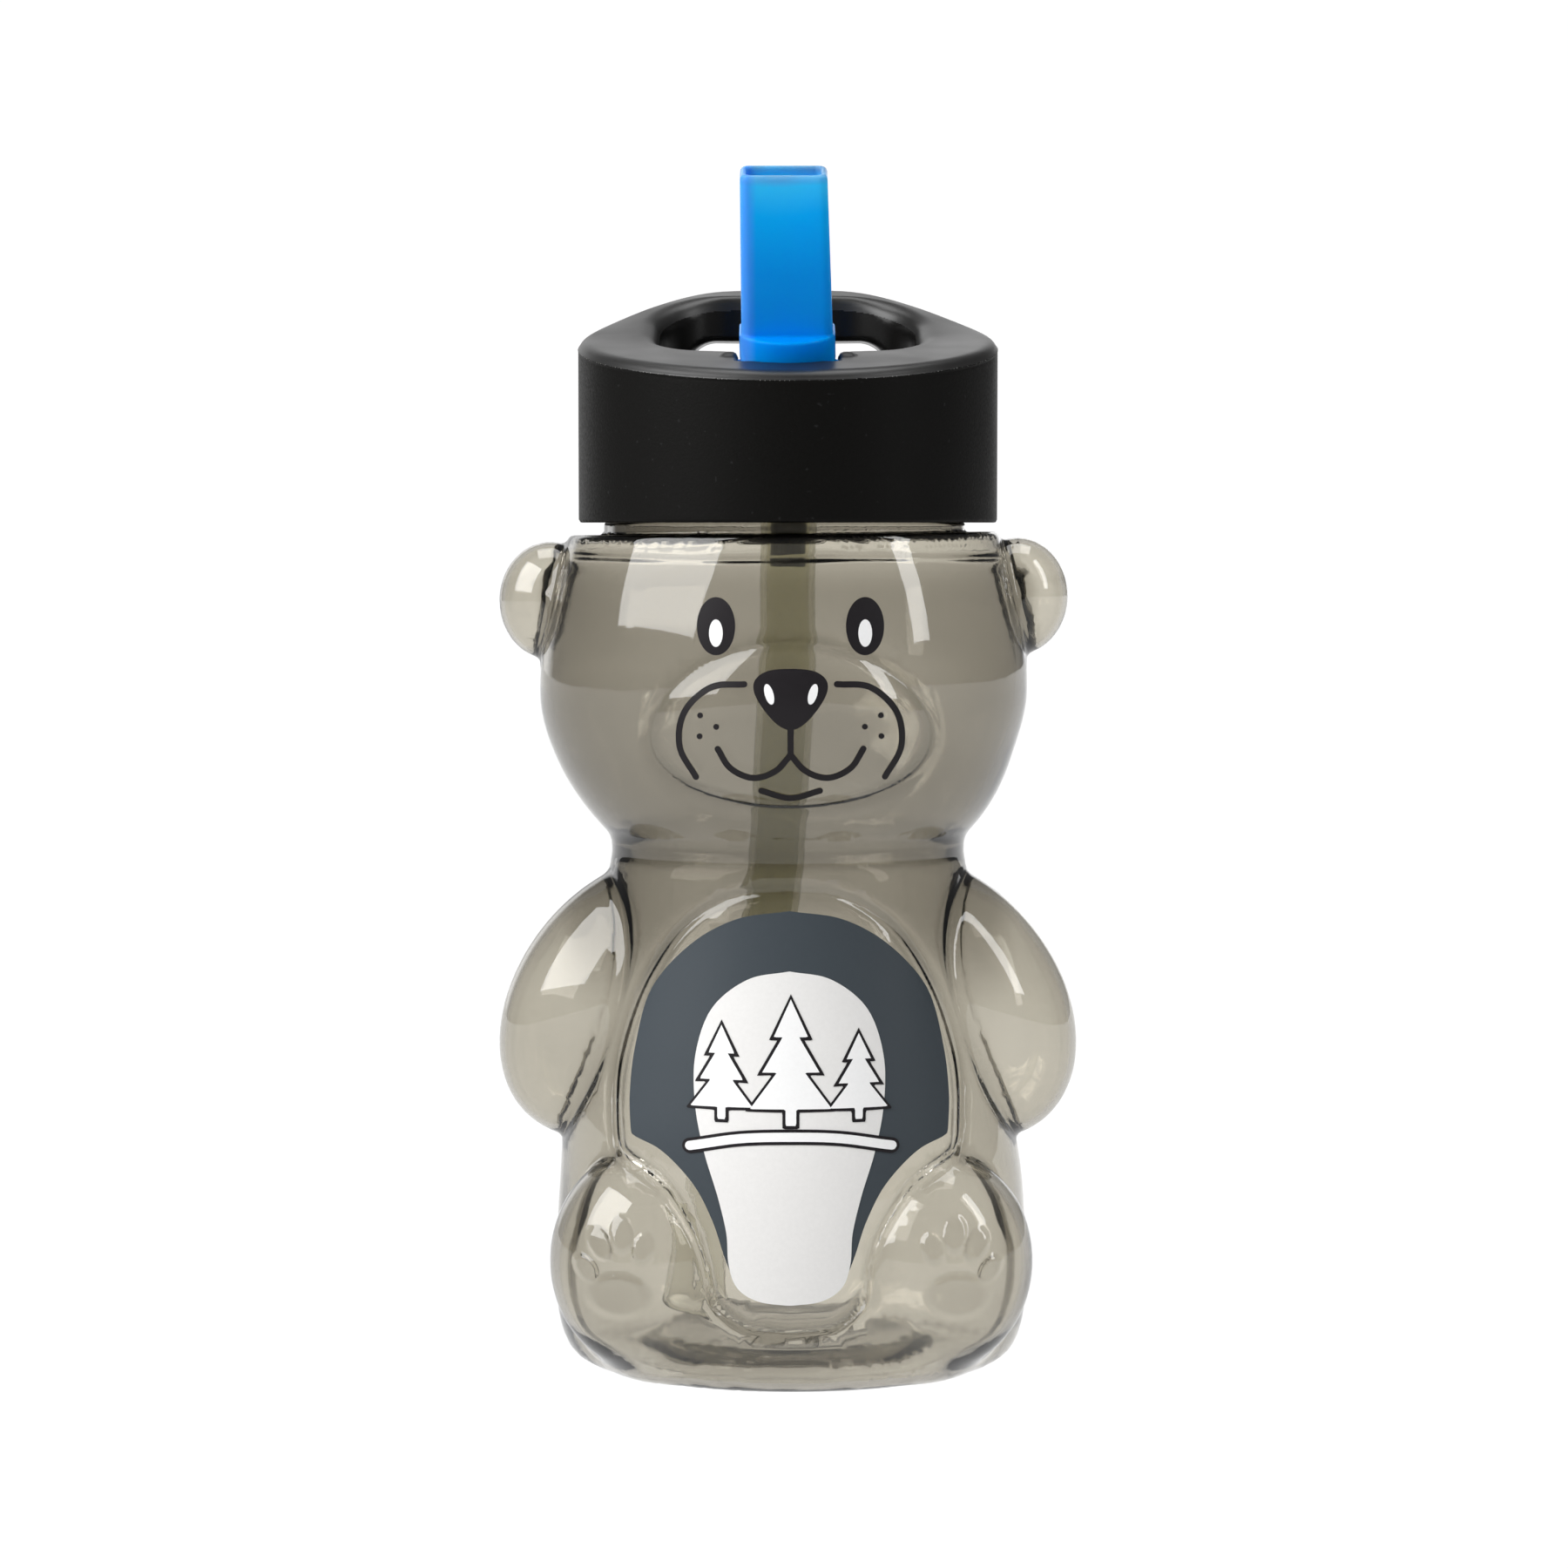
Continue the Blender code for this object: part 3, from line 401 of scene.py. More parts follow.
def mirrored_outline(right):
    """A closed outline from its right half, which runs from the top to the bottom of the middle."""
    right = np.asarray(right, float)
    left = right[::-1] * (-1.0, 1.0)
    return np.concatenate([right, left])


SIDE = blank_side()
BLANK = PlaneField(mirrored_outline(SIDE), (-3.0, -4.0), (48.0, 131.0), 0.25)

PANEL_RIGHT = (
    (0.0, 73.3), (8.0, 72.2), (15.2, 67.6), (20.6, 59.5), (23.9, 50.5),
    (25.1, 43.5), (24.9, 36.0), (23.9, 34.0), (21.6, 32.6), (18.5, 30.4), (16.3, 27.9),
    (13.6, 23.4), (12.2, 19.3), (11.3, 15.2), (9.6, 12.4), (6.0, 10.3), (0.0, 9.6),
)
PANEL = PlaneField(
    even_line(mirrored_outline(smooth_line(PANEL_RIGHT, 5)), 0.7), (-32.0, 0.0), (32.0, 82.0), 0.25
)
# Middle, radii and turn of each pad
PADS = (
    ((20.9, 22.2), (1.5, 2.2), -14.0),
    ((24.1, 24.2), (1.6, 2.5), 4.0),
    ((27.3, 22.6), (1.6, 2.4), 24.0),
    ((29.3, 19.0), (1.4, 2.1), 40.0),
    ((24.6, 15.2), (4.3, 3.1), 0.0),
)


def paw_relief(x, z):
    """How far the soles' pads stand proud."""
    proud = np.zeros(len(x))
    for (cx, cz), (rx, rz), turn in PADS:
        u, v = turned(np.abs(x) - cx, z - cz, math.radians(turn))
        proud = np.maximum(proud, eased(1.25 - away(u / rx, v / rz), 0.0, 0.5))
    return proud * 0.28


def muzzle_reach(x, z):
    """0 in the middle of the muzzle and 1 at its edge, which is wider below."""
    cx, cz, rx, rz = MUZZLE
    across = rx * (1.0 - 0.011 * (z - 95.0))
    return away((x - cx) / across, (z - cz) / rz)


def bear(p):
    """The bear as one form, and how near each point is to a crease between head, limbs and muzzle."""
    x, y, z = p.T
    muzzle = muzzle_reach(x, z)
    head = eased(z, 80.0, 96.0)
    x, z = x + HEAD_SHIFT * head - 0.5 * eased(z, 40.0, 26.0), z - HEAD_LEAN * x * head
    form = BLANK(away(x, y / DEPTH_SHARE), z)
    flatness = DEPTH_SHARE + (1.0 - DEPTH_SHARE) * x * x / (x * x + y * y + 1e-6)
    form = form * np.where(np.abs(z - 62.0) < 61.0, flatness, 1.0)
    folded = np.stack([np.abs(x), y, z], axis=1)
    front = eased(-y, 6.0, 14.0)
    form = form + 0.1 * eased(y, 18.0, 30.0) - front * MUZZLE_RISE * np.maximum(1.0 - muzzle**3.2, 0.0)
    form = form + 0.55 * eased(z, 101.0, 91.0) * eased(z, 77.4, 80.6)
    crease = front * 0.4 * bell((muzzle - 1.0) * 12.0, 0.9)
    foot = lobe(folded, FOOT) + 4.0 * eased(-PANEL(p[:, 0], p[:, 2]), -0.6, 1.2)
    corner = eased(folded[:, 0], 24.0, 29.0) * eased(z, 18.0, 24.0)
    for limb, blend, share in (
        (lobe(folded, EAR), 1.3, 0.25),
        (lobe(folded, ARM) + 0.13, 1.1, 0.3),
        (foot, 3.4 - 2.2 * corner, 0.5 * corner),
    ):
        crease = np.maximum(crease, share * bell(form - limb, 1.5))
        form = joined(form, limb, blend)
    crease = np.maximum(crease, 0.6 * bell(z - NECKLINE, 2.0))
    return np.maximum(form, -z), crease


def bottle_outside(p, lines=1.0):
    """The body with its grooves and pads, or without them where lines is 0, for the first coarse net."""
    x, y, z = p.T
    form, _ = bear(p)
    front = eased(-y, 4.0, 12.0)
    panel = PANEL(x, z)
    form = form + front * (0.62 * lines * bell(panel, 0.6) + 0.28 * eased(-panel, -0.2, 1.2))
    form = form - lines * front * paw_relief(x, z)
    r = away(x, y) + np.where(z > NECK_START, 0.0, 1e3)
    collar = common(np.hypot(x + 0.5, y) + r - np.hypot(x, y) - COLLAR_RADIUS, z - COLLAR_TOP, 0.8)
    form = joined(form, collar, 0.35)
    seam = 0.22 * bell(x + 0.6, 0.35) * (y < 0)
    return joined(form, r - NECK_RADIUS - seam, 0.5)


def wall_at(x, y, z):
    """The blown wall: thick in the head and base, thin where the form stretched it furthest."""
    side = np.abs(x)
    arm = eased(side, 28.0, 35.0) * eased(z, 30.0, 38.0) * eased(z, 80.0, 74.0)
    wall = 1.0 - 0.15 * arm + (0.9 - 0.6 * arm) * eased(z, 52.0, 68.0) - 0.2 * eased(z, 98.0, 106.0)
    wall = wall - 0.95 * eased(side, 34.0, 38.0) * eased(z, 98.0, 106.0) - 0.9 * eased(z, 117.0, 122.0)
    wall = wall - 0.15 * eased(-y, 22.0, 30.0) * eased(side, 12.0, 18.0) * eased(z, 44.0, 34.0)
    low = eased(z, 9.0, 5.0)
    foot = 0.8 * eased(np.hypot(x, y), 24.0, 19.0) + 0.25 * eased(side, 20.0, 26.0)
    return np.maximum(wall, 0.7) + low * foot


def bottle_inside(p, lines=1.0):
    """The inside, which follows the outside with rounder creases and the waves of blown plastic."""
    x, y, z = p.T
    wave = 0.10 * np.sin(x / 6.1 + z / 13.0) * np.sin(z / 9.3 + y / 11.0) + 0.05 * np.sin(z / 3.7 + x / 8.0)
    form, crease = bear(p)
    groove = eased(-y, 4.0, 12.0) * bell(PANEL(x, z), 1.1)
    form = form + wall_at(x, y, z) + wave * eased(z, 122.0, 116.0) + lines * (1.1 * crease + 0.8 * groove)
    bead = 0.3 + 0.12 * np.sin(x / 5.3 + 1.2) + 0.05 * np.sin(x / 1.9)
    ridge = bell(z - BEAD - 0.15 * np.sin(x / 7.0), 0.5)
    form = form + bead * ridge * eased(np.abs(x), 33.0, 29.0)
    bore = np.where(z > NECK_START, away(x, y) - NECK_BORE - 0.6, 1e3)
    return joined(form, bore, 0.5)


def near_crease(p, width):
    """Where two forms of the bear meet, or a moulded line runs."""
    x, y, z = p.T
    _, crease = bear(p)
    line = (y < -4.0) & (np.abs(PANEL(x, z)) < width)
    return ((crease > 0.3 * bell(width, 1.5)) & (y < 11.0)) | line


def has_detail(p):
    """Where the outside needs small faces."""
    x, y, z = p.T
    pads = (y < -8.0) & (np.abs(np.abs(x) - 26.5) < 8.5) & (np.abs(z - 18.0) < 9.0)
    shoulder = (z > 123.5) & (z < 127.7) & (np.hypot(x, y) > 25.0)
    return (near_crease(p, 1.1) & (z < 123.4)) | pads | shoulder


def has_crease(p):
    """Where the inside needs small faces."""
    return near_crease(p, 1.5) | (np.abs(p[:, 2] - 123.0) < 4.6)


def at_ear(p):
    """The ears' outer sides."""
    return (np.abs(p[:, 0]) > 37.6) & (p[:, 2] > 105.0)


def at_collar(p):
    """Where the collar meets the shoulder."""
    off = np.abs(np.hypot(p[:, 0], p[:, 1]) - COLLAR_RADIUS)
    return ((np.abs(p[:, 2] - SHOULDER - 0.2) < 0.6) & (off < 0.6)) | at_ear(p)


def at_bead(p):
    """Where the inside has a bead under the shoulder."""
    return ((np.abs(p[:, 2] - BEAD) < 0.9) & (np.abs(p[:, 0]) < 32.0)) | at_ear(p)


def body_surface(field, cell, marks):
    """The body's outer or inner surface up to the neck, refined where marks say, its rim and normals."""
    low, high = (-46.0, -37.0, -1.5), (46.0, 35.5, 130.4)
    points, quads = net_surface(lambda p: field(p, 0.0), low, high, cell)
    points = settled(field, points, quads, cell, 4)
    rim, faces = rim_loop(quads, points), quads.tolist()
    for chosen, cuts in marks:
        points, faces = refined(field, points, faces, chosen, cuts)
    return points, faces, rim, unit(slope(field, points, 0.12))


def make_bottle():
    """The blown body: outer and inner surface from the fields, joined by a turned neck."""
    marks = (has_detail, 3), (at_collar, 1)
    outer, faces, outer_rim, outward = body_surface(bottle_outside, OUTER_CELL, marks)
    marks = (has_crease, 2), (at_bead, 1)
    inner, inner_faces, inner_rim, inward = body_surface(bottle_inside, INNER_CELL, marks)
    steps, middle = 160, (NECK_RADIUS - NECK_BORE) / 2
    angle = math.tau * np.arange(steps) / steps

    def ring(r, z):
        return np.stack([r * np.cos(angle), r * np.sin(angle), np.full(steps, z)], axis=1)

    neck = [(NECK_RADIUS, z, 0.0) for z in (130.8, 132.5, 134.5, 136.5, 138.4)]
    for a in np.linspace(0.0, math.pi, 9):
        neck.append((NECK_RADIUS - middle + middle * math.cos(a), LIP - 0.6 + 0.6 * math.sin(a), a))
    neck += [(NECK_BORE, z, math.pi) for z in (138.4, 136.5, 134.5, 133.0, 131.6)]
    points = np.concatenate([outer, inner, *(ring(r, z) for r, z, _ in neck)])
    normals = np.concatenate([outward, -inward, *(ring(math.cos(a), math.sin(a)) for *_, a in neck)])
    faces += [[i + len(outer) for i in face[::-1]] for face in inner_faces]
    ids = np.arange(len(outer) + len(inner), len(points)).reshape(len(neck), steps)
    faces += stitched(points, outer_rim, ids[0])
    for a, b in zip(ids, ids[1:]):
        faces += np.stack([a, np.roll(a, -1), np.roll(b, -1), b], axis=1).tolist()
    faces += stitched(points, inner_rim + len(outer), ids[-1], outward=False)
    return mesh_piece("bottle", points, faces, SMOKE, normals)


# Lid

LID_RADIUS = 31.5
LID_HOLLOW = 29.4
SKIRT = 126.7
WELL_FLOOR = 143.7
LID_TOP = 154.15
LID_SLOPE = math.tan(math.radians(10.7))
PARTING = 152.85
LID_CELL = 0.54
# Back and up
HINGE = (-15.5, 149.2)
# Half width, front, back, and the corners' radii in the front and in the back
WELL = (19.4, -12.0, 22.0, 15.5, 12.0)
NOTCH = (7.3, -20.7, -7.0)


def lid_top(x, y):
    """The sloping top, which rises to the loop at the back."""
    across = eased(np.abs(x + 0.8), 33.5, 9.0)
    along = eased(y, -4.0, 22.0)
    return LID_TOP + LID_SLOPE * y + 3.55 * across * along


def over_parting(p):
    """How high points are over the parting line."""
    return p[:, 2] - PARTING - LID_SLOPE * p[:, 1]


def round_box(x, y, half, front, back, front_corner, back_corner):
    """A rectangle with round corners, in the plane."""
    corner = np.where(y > (front + back) / 2, back_corner, front_corner)
    qx = np.abs(x) - half + corner
    qy = np.abs(y - (front + back) / 2) - (back - front) / 2 + corner
    return away(np.maximum(qx, 0), np.maximum(qy, 0)) + np.minimum(np.maximum(qx, qy), 0.0) - corner


def well_form(x, y):
    """The finger well's outline with the notch for the spout."""
    well = round_box(x, y, *WELL)
    return joined(well, round_box(x, y, NOTCH[0], NOTCH[1], NOTCH[2], 0.8, 0.8), 1.2)


def lid_form(p):
    """The shell: hollow below, with the finger well, the loop's opening, hinge bosses and their sockets."""
    x, y, z = p.T
    r = away(x, y)
    top = lid_top(x, y)
    outer = common(r - LID_RADIUS, (z - top) * 0.97, 2.0)
    outer = common(outer, SKIRT - z, 0.5)
    lip = bell(over_parting(p), 0.22) * 0.10
    outer = outer - lip * (r > 28.0)
    hollow = common(r - LID_HOLLOW, (z - top + 2.2) * 0.97, 1.0)
    half, front, back, fc, bc = WELL
    walls = round_box(x, y, half + 3.4, front - 3.4, back + 3.4, fc + 3.4, bc + 3.4)
    walls = joined(walls, round_box(x, y, NOTCH[0] + 1.7, NOTCH[1] - 1.7, NOTCH[2], 0.6, 0.6), 0.5)
    walls = joined(walls, round_box(x, y, 17.2, 13.0, 33.5, 0.3, 0.3), 0.5)
    walls = common(walls, WELL_FLOOR - z, 0.3)
    form = without(outer, without(hollow, walls, 0.4), 0.4)
    across = away(y - HINGE[0], z - HINGE[1])
    bosses = common(across - 2.5, np.abs(x) - 9.8, 0.8)
    form = joined(form, bosses, 0.5)
    opening = np.maximum(well_form(x, y), 141.5 - z)
    form = without(form, opening, 1.1 + 2.2 * eased(np.abs(x), 9.0, 17.0))
    rise = round_box(x, -z, 15.5, -154.9, -144.7, 4.5, 1.0)
    window = np.maximum(rise, 13.0 - y)
    form = without(form, window, 1.0)
    sockets = np.maximum(across - 1.65, np.abs(x) - 9.0)
    return without(form, sockets, 0.2)


# Spout, in its own frame: across, back and along

SPOUT_LEAN = math.radians(18.5)
SPOUT_LENGTH = 29.5
SPOUT_CELL = 0.25


def spout_frame(p):
    """Points in the leaning spout's own frame."""
    return p[:, 0], *turned(p[:, 1] - HINGE[0], p[:, 2] - HINGE[1], -SPOUT_LEAN)


def spout_form(p):
    """The spout: a tapered tube with a collar, a barrel with pins, and its bore."""
    u, v, w = spout_frame(p)
    along = np.clip(w / SPOUT_LENGTH, 0.0, 1.0)
    u = u + 0.65 * along
    taper = 1.0 - 0.07 * along
    tube = round_box(u / taper, v / taper, 6.76, -3.9, 3.9, 1.4, 1.4)
    tube = common(tube, np.maximum(-w, w - SPOUT_LENGTH), 0.9)
    nose = (away(u / 7.0, (v + 1.3) / 6.1) - 1.0) * 5.7
    collar = np.where(v > -1.3, round_box(u, v, 7.0, -9.0, 3.9, 0.5, 0.9), nose)
    collar = common(collar, np.abs(w - 3.95) - 2.0, 0.35)
    across = away(v, w)
    barrel = common(across - 4.8, np.abs(u) - 6.6, 0.6)
    pins = common(across - 1.35, np.abs(u) - 8.7, 0.4)
    form = joined(joined(tube, collar, 0.3), joined(barrel, pins, 0.4), 0.5)
    bore = np.maximum(round_box(u / taper, v / taper, 5.75, -2.8, 2.8, 1.1, 1.1), 6.0 - w)
    form = without(form, bore, 0.55)
    riser = np.maximum(away(u, v) - 1.6, np.maximum(-w - 0.5, w - 8.0))
    form = without(form, riser, 0.3)
    down = away(p[:, 0], p[:, 1] - HINGE[0])
    channel = np.maximum(down - 1.6, np.maximum(p[:, 2] - HINGE[1], HINGE[1] - 6.5 - p[:, 2]))
    return without(form, channel, 0.3)


# Node trees


class Nodes:
    """Adds nodes to a tree one by one."""

    prefix = "ShaderNode"

    def __init__(self, tree):
        self.tree = tree

    def feed(self, target, value):
        """Gives an input a plain value, or the socket that it comes from."""
        if isinstance(value, bpy.types.NodeSocket):
            self.tree.links.new(value, target)
        else:
            target.default_value = value

    def node(self, kind, inputs=None, **settings):
        """A new node's outputs."""
        node = self.tree.nodes.new(kind if "Node" in kind else self.prefix + kind)
        for key, value in settings.items():
            setattr(node, key, value)
        for key, value in (inputs or {}).items():
            self.feed(node.inputs[key], value)
        return node.outputs

    def ramp(self, value, *stops, ease="LINEAR"):
        """The colour from a ramp with stops as (position, colour)."""
        colour = self.node("ValToRGB", {"Fac": value})["Color"]
        colour.node.color_ramp.interpolation = ease
        elements = colour.node.color_ramp.elements
        for element, (position, tint) in zip(elements, (stops[0], stops[-1])):
            element.position, element.color = position, (*tint, 1.0)
        for position, tint in stops[1:-1]:
            elements.new(position).color = (*tint, 1.0)
        return colour

    def mixed(self, share, low, high):
        """A colour between two."""
        return self.node("Mix", {0: share, 6: low, 7: high}, data_type="RGBA")[2]

    def seen_directly(self, *further):
        """1 for rays that come straight or through clear plastic, or of a further kind, and 0 for light."""
        path = self.node("LightPath")
        seen = path["Is Camera Ray"]
        for kind in ("Transmission", *further):
            seen = self.node("Math", {0: seen, 1: path[f"Is {kind} Ray"]}, operation="MAXIMUM")[0]
        return seen


# Pieces grown by Geometry Nodes


class Growth(Nodes):
    """A Geometry Nodes tree with named inputs."""

    prefix = "GeometryNode"

    def __init__(self, name, **inputs):
        super().__init__(bpy.data.node_groups.new(name, "GeometryNodeTree"))
        kinds = {"Geometry": "Geometry", **inputs}
        for label, kind in kinds.items():
            self.tree.interface.new_socket(label, in_out="INPUT", socket_type=f"NodeSocket{kind}")
        self.tree.interface.new_socket("Geometry", in_out="OUTPUT", socket_type="NodeSocketGeometry")
        self.tree.is_modifier = True
        self.given = self.node("NodeGroupInput")

    def finished(self, geometry, material):
        real = self.node("RealizeInstances", {"Geometry": geometry})[0]
        dressed = self.node("SetMaterial", {"Geometry": real, "Material": material})[0]
        self.node("NodeGroupOutput", {"Geometry": dressed})
        return self.tree


def grown(name, tree, values, start=None, thickness=None):
    """The evaluated mesh of a growth tree as a plain object."""
    base = start or bpy.data.meshes.new(name + "_start")
    holder = placed(name + "_holder", base)
    modifier = holder.modifiers.new("grow", "NODES")
    modifier.node_group = tree
    for item in tree.interface.items_tree:
        if item.in_out == "INPUT" and item.name in values:
            modifier[item.identifier] = values[item.name]
    if thickness is not None:
        wall = holder.modifiers.new("wall", "SOLIDIFY")
        wall.thickness = thickness
        wall.offset = -1.0
        wall.use_even_offset = True
    bpy.context.view_layer.update()
    graph = bpy.context.evaluated_depsgraph_get()
    mesh = bpy.data.meshes.new_from_object(holder.evaluated_get(graph))
    bpy.data.objects.remove(holder)
    mesh.name = name
    return placed(name, mesh)


def tube_tree(material):
    """A round tube along a path."""
    g = Growth("tube_along_path", Radius="Float", Sides="Int", Spacing="Float")
    path = g.node("MeshToCurve", {"Mesh": g.given["Geometry"]})[0]
    even = g.node("ResampleCurve", {"Curve": path, "Length": g.given["Spacing"]}, mode="LENGTH")[0]
    ring = g.node("CurvePrimitiveCircle", {"Resolution": g.given["Sides"], "Radius": g.given["Radius"]})[0]
    tube = g.node("CurveToMesh", {"Curve": even, "Profile Curve": ring})[0]
    return g.finished(g.node("SetShadeSmooth", {"Geometry": tube})[0], material)


def thread_tree(material):
    """A screw thread's ridge, which fades at both ends."""
    g = Growth("screw_thread", Turns="Float", Pitch="Float", Radius="Float", Width="Float", Steps="Int")
    turns, radius = g.given["Turns"], g.given["Radius"]
    rise = g.node("ShaderNodeMath", {0: turns, 1: g.given["Pitch"]}, operation="MULTIPLY")[0]
    shape = {"Resolution": g.given["Steps"], "Rotations": turns, "Height": rise}
    spiral = g.node("CurveSpiral", {**shape, "Start Radius": radius, "End Radius": radius})[0]
    upright = g.node("SetCurveNormal", {"Curve": spiral}, mode="Z_UP")[0]
    along = g.node("SplineParameter")["Factor"]
    fade = g.node("ShaderNodeFloatCurve", {"Value": along})[0]
    mapping = fade.node.mapping
    points = mapping.curves[0].points
    points[0].location, points[1].location = (0.0, 0.05), (1.0, 0.05)
    points.new(0.06, 1.0)
    points.new(0.94, 1.0)
    mapping.update()
    sized = g.node("SetCurveRadius", {"Curve": upright, "Radius": fade})[0]
    ring = g.node("CurvePrimitiveCircle", {"Radius": g.given["Width"], "Resolution": 10})[0]
    ridge = g.node("CurveToMesh", {"Curve": sized, "Profile Curve": ring, "Fill Caps": True})[0]
    return g.finished(g.node("SetShadeSmooth", {"Geometry": ridge})[0], material)


def speck_tree(material):
    """Tiny nubs of flash scattered along a line."""
    g = Growth("flash_specks", Spacing="Float", Size="Float", Seed="Int")
    seed = g.given["Seed"]
    path = g.node("MeshToCurve", {"Mesh": g.given["Geometry"]})[0]
    spots = g.node("CurveToPoints", {"Curve": path, "Length": g.given["Spacing"]}, mode="LENGTH")[0]
    gone = g.node("FunctionNodeRandomValue", {"Seed": seed, "Probability": 0.34}, data_type="BOOLEAN")[3]
    thin = g.node("DeleteGeometry", {"Geometry": spots, "Selection": gone}, domain="POINT")[0]
    size = g.node("FunctionNodeRandomValue", {"Seed": seed, 2: 0.25, 3: 1.0}, data_type="FLOAT")[1]
    nub = g.node("MeshIcoSphere", {"Radius": g.given["Size"], "Subdivisions": 1})[0]
    nubs = g.node("InstanceOnPoints", {"Points": thin, "Instance": nub, "Scale": size})[0]
    return g.finished(nubs, material)


def path_mesh(name, points_mm):
    """A line's points joined by edges."""
    mesh = bpy.data.meshes.new(name)
    points = (np.asarray(points_mm, float) * MM).tolist()
    mesh.from_pydata(points, [(i, i + 1) for i in range(len(points) - 1)], [])
    return mesh


# Prints on the bottle's front

FILM = 0.04


def front_point(x, z):
    """Where a line from the front meets the bottle, and the surface's direction there."""
    y = np.full(len(x), -46.0)
    for _ in range(60):
        value = bottle_outside(np.stack([x, y, z], axis=1))
        y = y + np.maximum(value, 0.0) * 0.75
    points = np.stack([x, y, z], axis=1)
    points = onto(bottle_outside, points, 0.3)
    grad = slope(bottle_outside, points, 0.4)
    return points, grad / np.linalg.norm(grad, axis=1)[:, None]


def star_patch(centre, outline, rings):
    """A filled closed outline, as rings about its centre."""
    centre, outline = np.asarray(centre, float), np.asarray(outline, float)
    count = len(outline)
    points = [centre[None]]
    points += [centre + (outline - centre) * (k / rings) for k in range(1, rings + 1)]
    faces = [(0, 1 + i, 1 + (i + 1) % count) for i in range(count)]
    for k in range(rings - 1):
        a, b = 1 + k * count, 1 + (k + 1) * count
        faces += [(a + i, b + i, b + (i + 1) % count, a + (i + 1) % count) for i in range(count)]
    return np.concatenate(points), faces


def filled_patch(outline, step, spacing):
    """A closed outline of any shape with points a step apart, filled with triangles of about even size."""
    outline = even_line(np.vstack([outline, outline[:1]]), step)[:-1]
    low, high = outline.min(axis=0), outline.max(axis=0)
    x, y = np.meshgrid(np.arange(low[0], high[0], spacing), np.arange(low[1], high[1], spacing))
    grid = np.stack([x.ravel(), y.ravel()], axis=1)
    grid = grid[outline_distance(*grid.T, outline) < -spacing * 0.5]
    points = [Vector(p) for p in np.concatenate([outline, grid])]
    points, _, faces, *_ = delaunay_2d_cdt(points, [], [list(range(len(outline)))], 1, 1e-5)
    return np.array([tuple(p) for p in points]), [tuple(face) for face in faces]


def oval(centre, radii, rings, turn=0.0, steps=48):
    """A filled ellipse."""
    angle = math.tau * np.arange(steps) / steps
    u, v = turned(radii[0] * np.cos(angle), radii[1] * np.sin(angle), math.radians(turn))
    return star_patch(centre, np.stack([u, v], axis=1) + centre, rings)


def stroke_patch(line, width):
    """A line of even width with round ends."""
    line = even_line(line, 0.5)
    along = np.gradient(line, axis=0)
    along /= np.linalg.norm(along, axis=1)[:, None]
    half = width / 2
    cap = np.linspace(math.pi / 2, 0.0, 6)[:-1, None]
    ahead, narrow = half * np.sin(cap), half * np.maximum(np.cos(cap), 0.12)
    stations = np.vstack([line[0] - along[0] * ahead, line, line[-1] + along[-1] * ahead[::-1]])
    dirs = np.vstack([along[:1].repeat(len(cap), 0), along, along[-1:].repeat(len(cap), 0)])
    halves = np.vstack([narrow, np.full((len(line), 1), half), narrow[::-1]])
    across = np.stack([-dirs[:, 1], dirs[:, 0]], axis=1) * halves
    rows = [stations + across * share for share in (1.0, 0.0, -1.0)]
    count = len(stations)
    faces = []
    for k in range(2):
        a, b = k * count, (k + 1) * count
        faces += [(a + i, b + i, b + i + 1, a + i + 1) for i in range(count - 1)]
    return np.concatenate(rows), faces


def printed(name, patches, lift, material):
    """Flat patches laid on the bottle's front as thin closed films of ink."""
    points, faces, corners = [], [], []
    for flat, flat_faces in patches:
        face_array = [f if signed_area(flat[list(f)]) > 0 else f[::-1] for f in flat_faces]
        on, out = front_point(flat[:, 0].copy(), flat[:, 1].copy())
        start, count = sum(len(p) for p in points), len(flat)
        points += [on + out * (lift + FILM), on + out * lift]
        uses = {}
        for f in face_array:
            faces.append(tuple(start + i for i in f))
            faces.append(tuple(start + count + i for i in f[::-1]))
            corners += [out[i] for i in f] + [-out[i] for i in f[::-1]]
            for a, b in zip(f, f[1:] + f[:1]):
                uses[(a, b)] = True
        for a, b in uses:
            if (b, a) not in uses:
                faces.append((start + b, start + a, start + count + a, start + count + b))
                corners += [np.cross(on[b] - on[a], out[a])] * 4
    obj = mesh_piece(name, np.concatenate(points), faces, material, corners=unit(np.array(corners)))
    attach(obj, "bottle")
    return obj


def signed_area(flat):
    x, z = flat[:, 0], flat[:, 1]
    return float((x * np.roll(z, -1) - np.roll(x, -1) * z).sum())


# Finishes


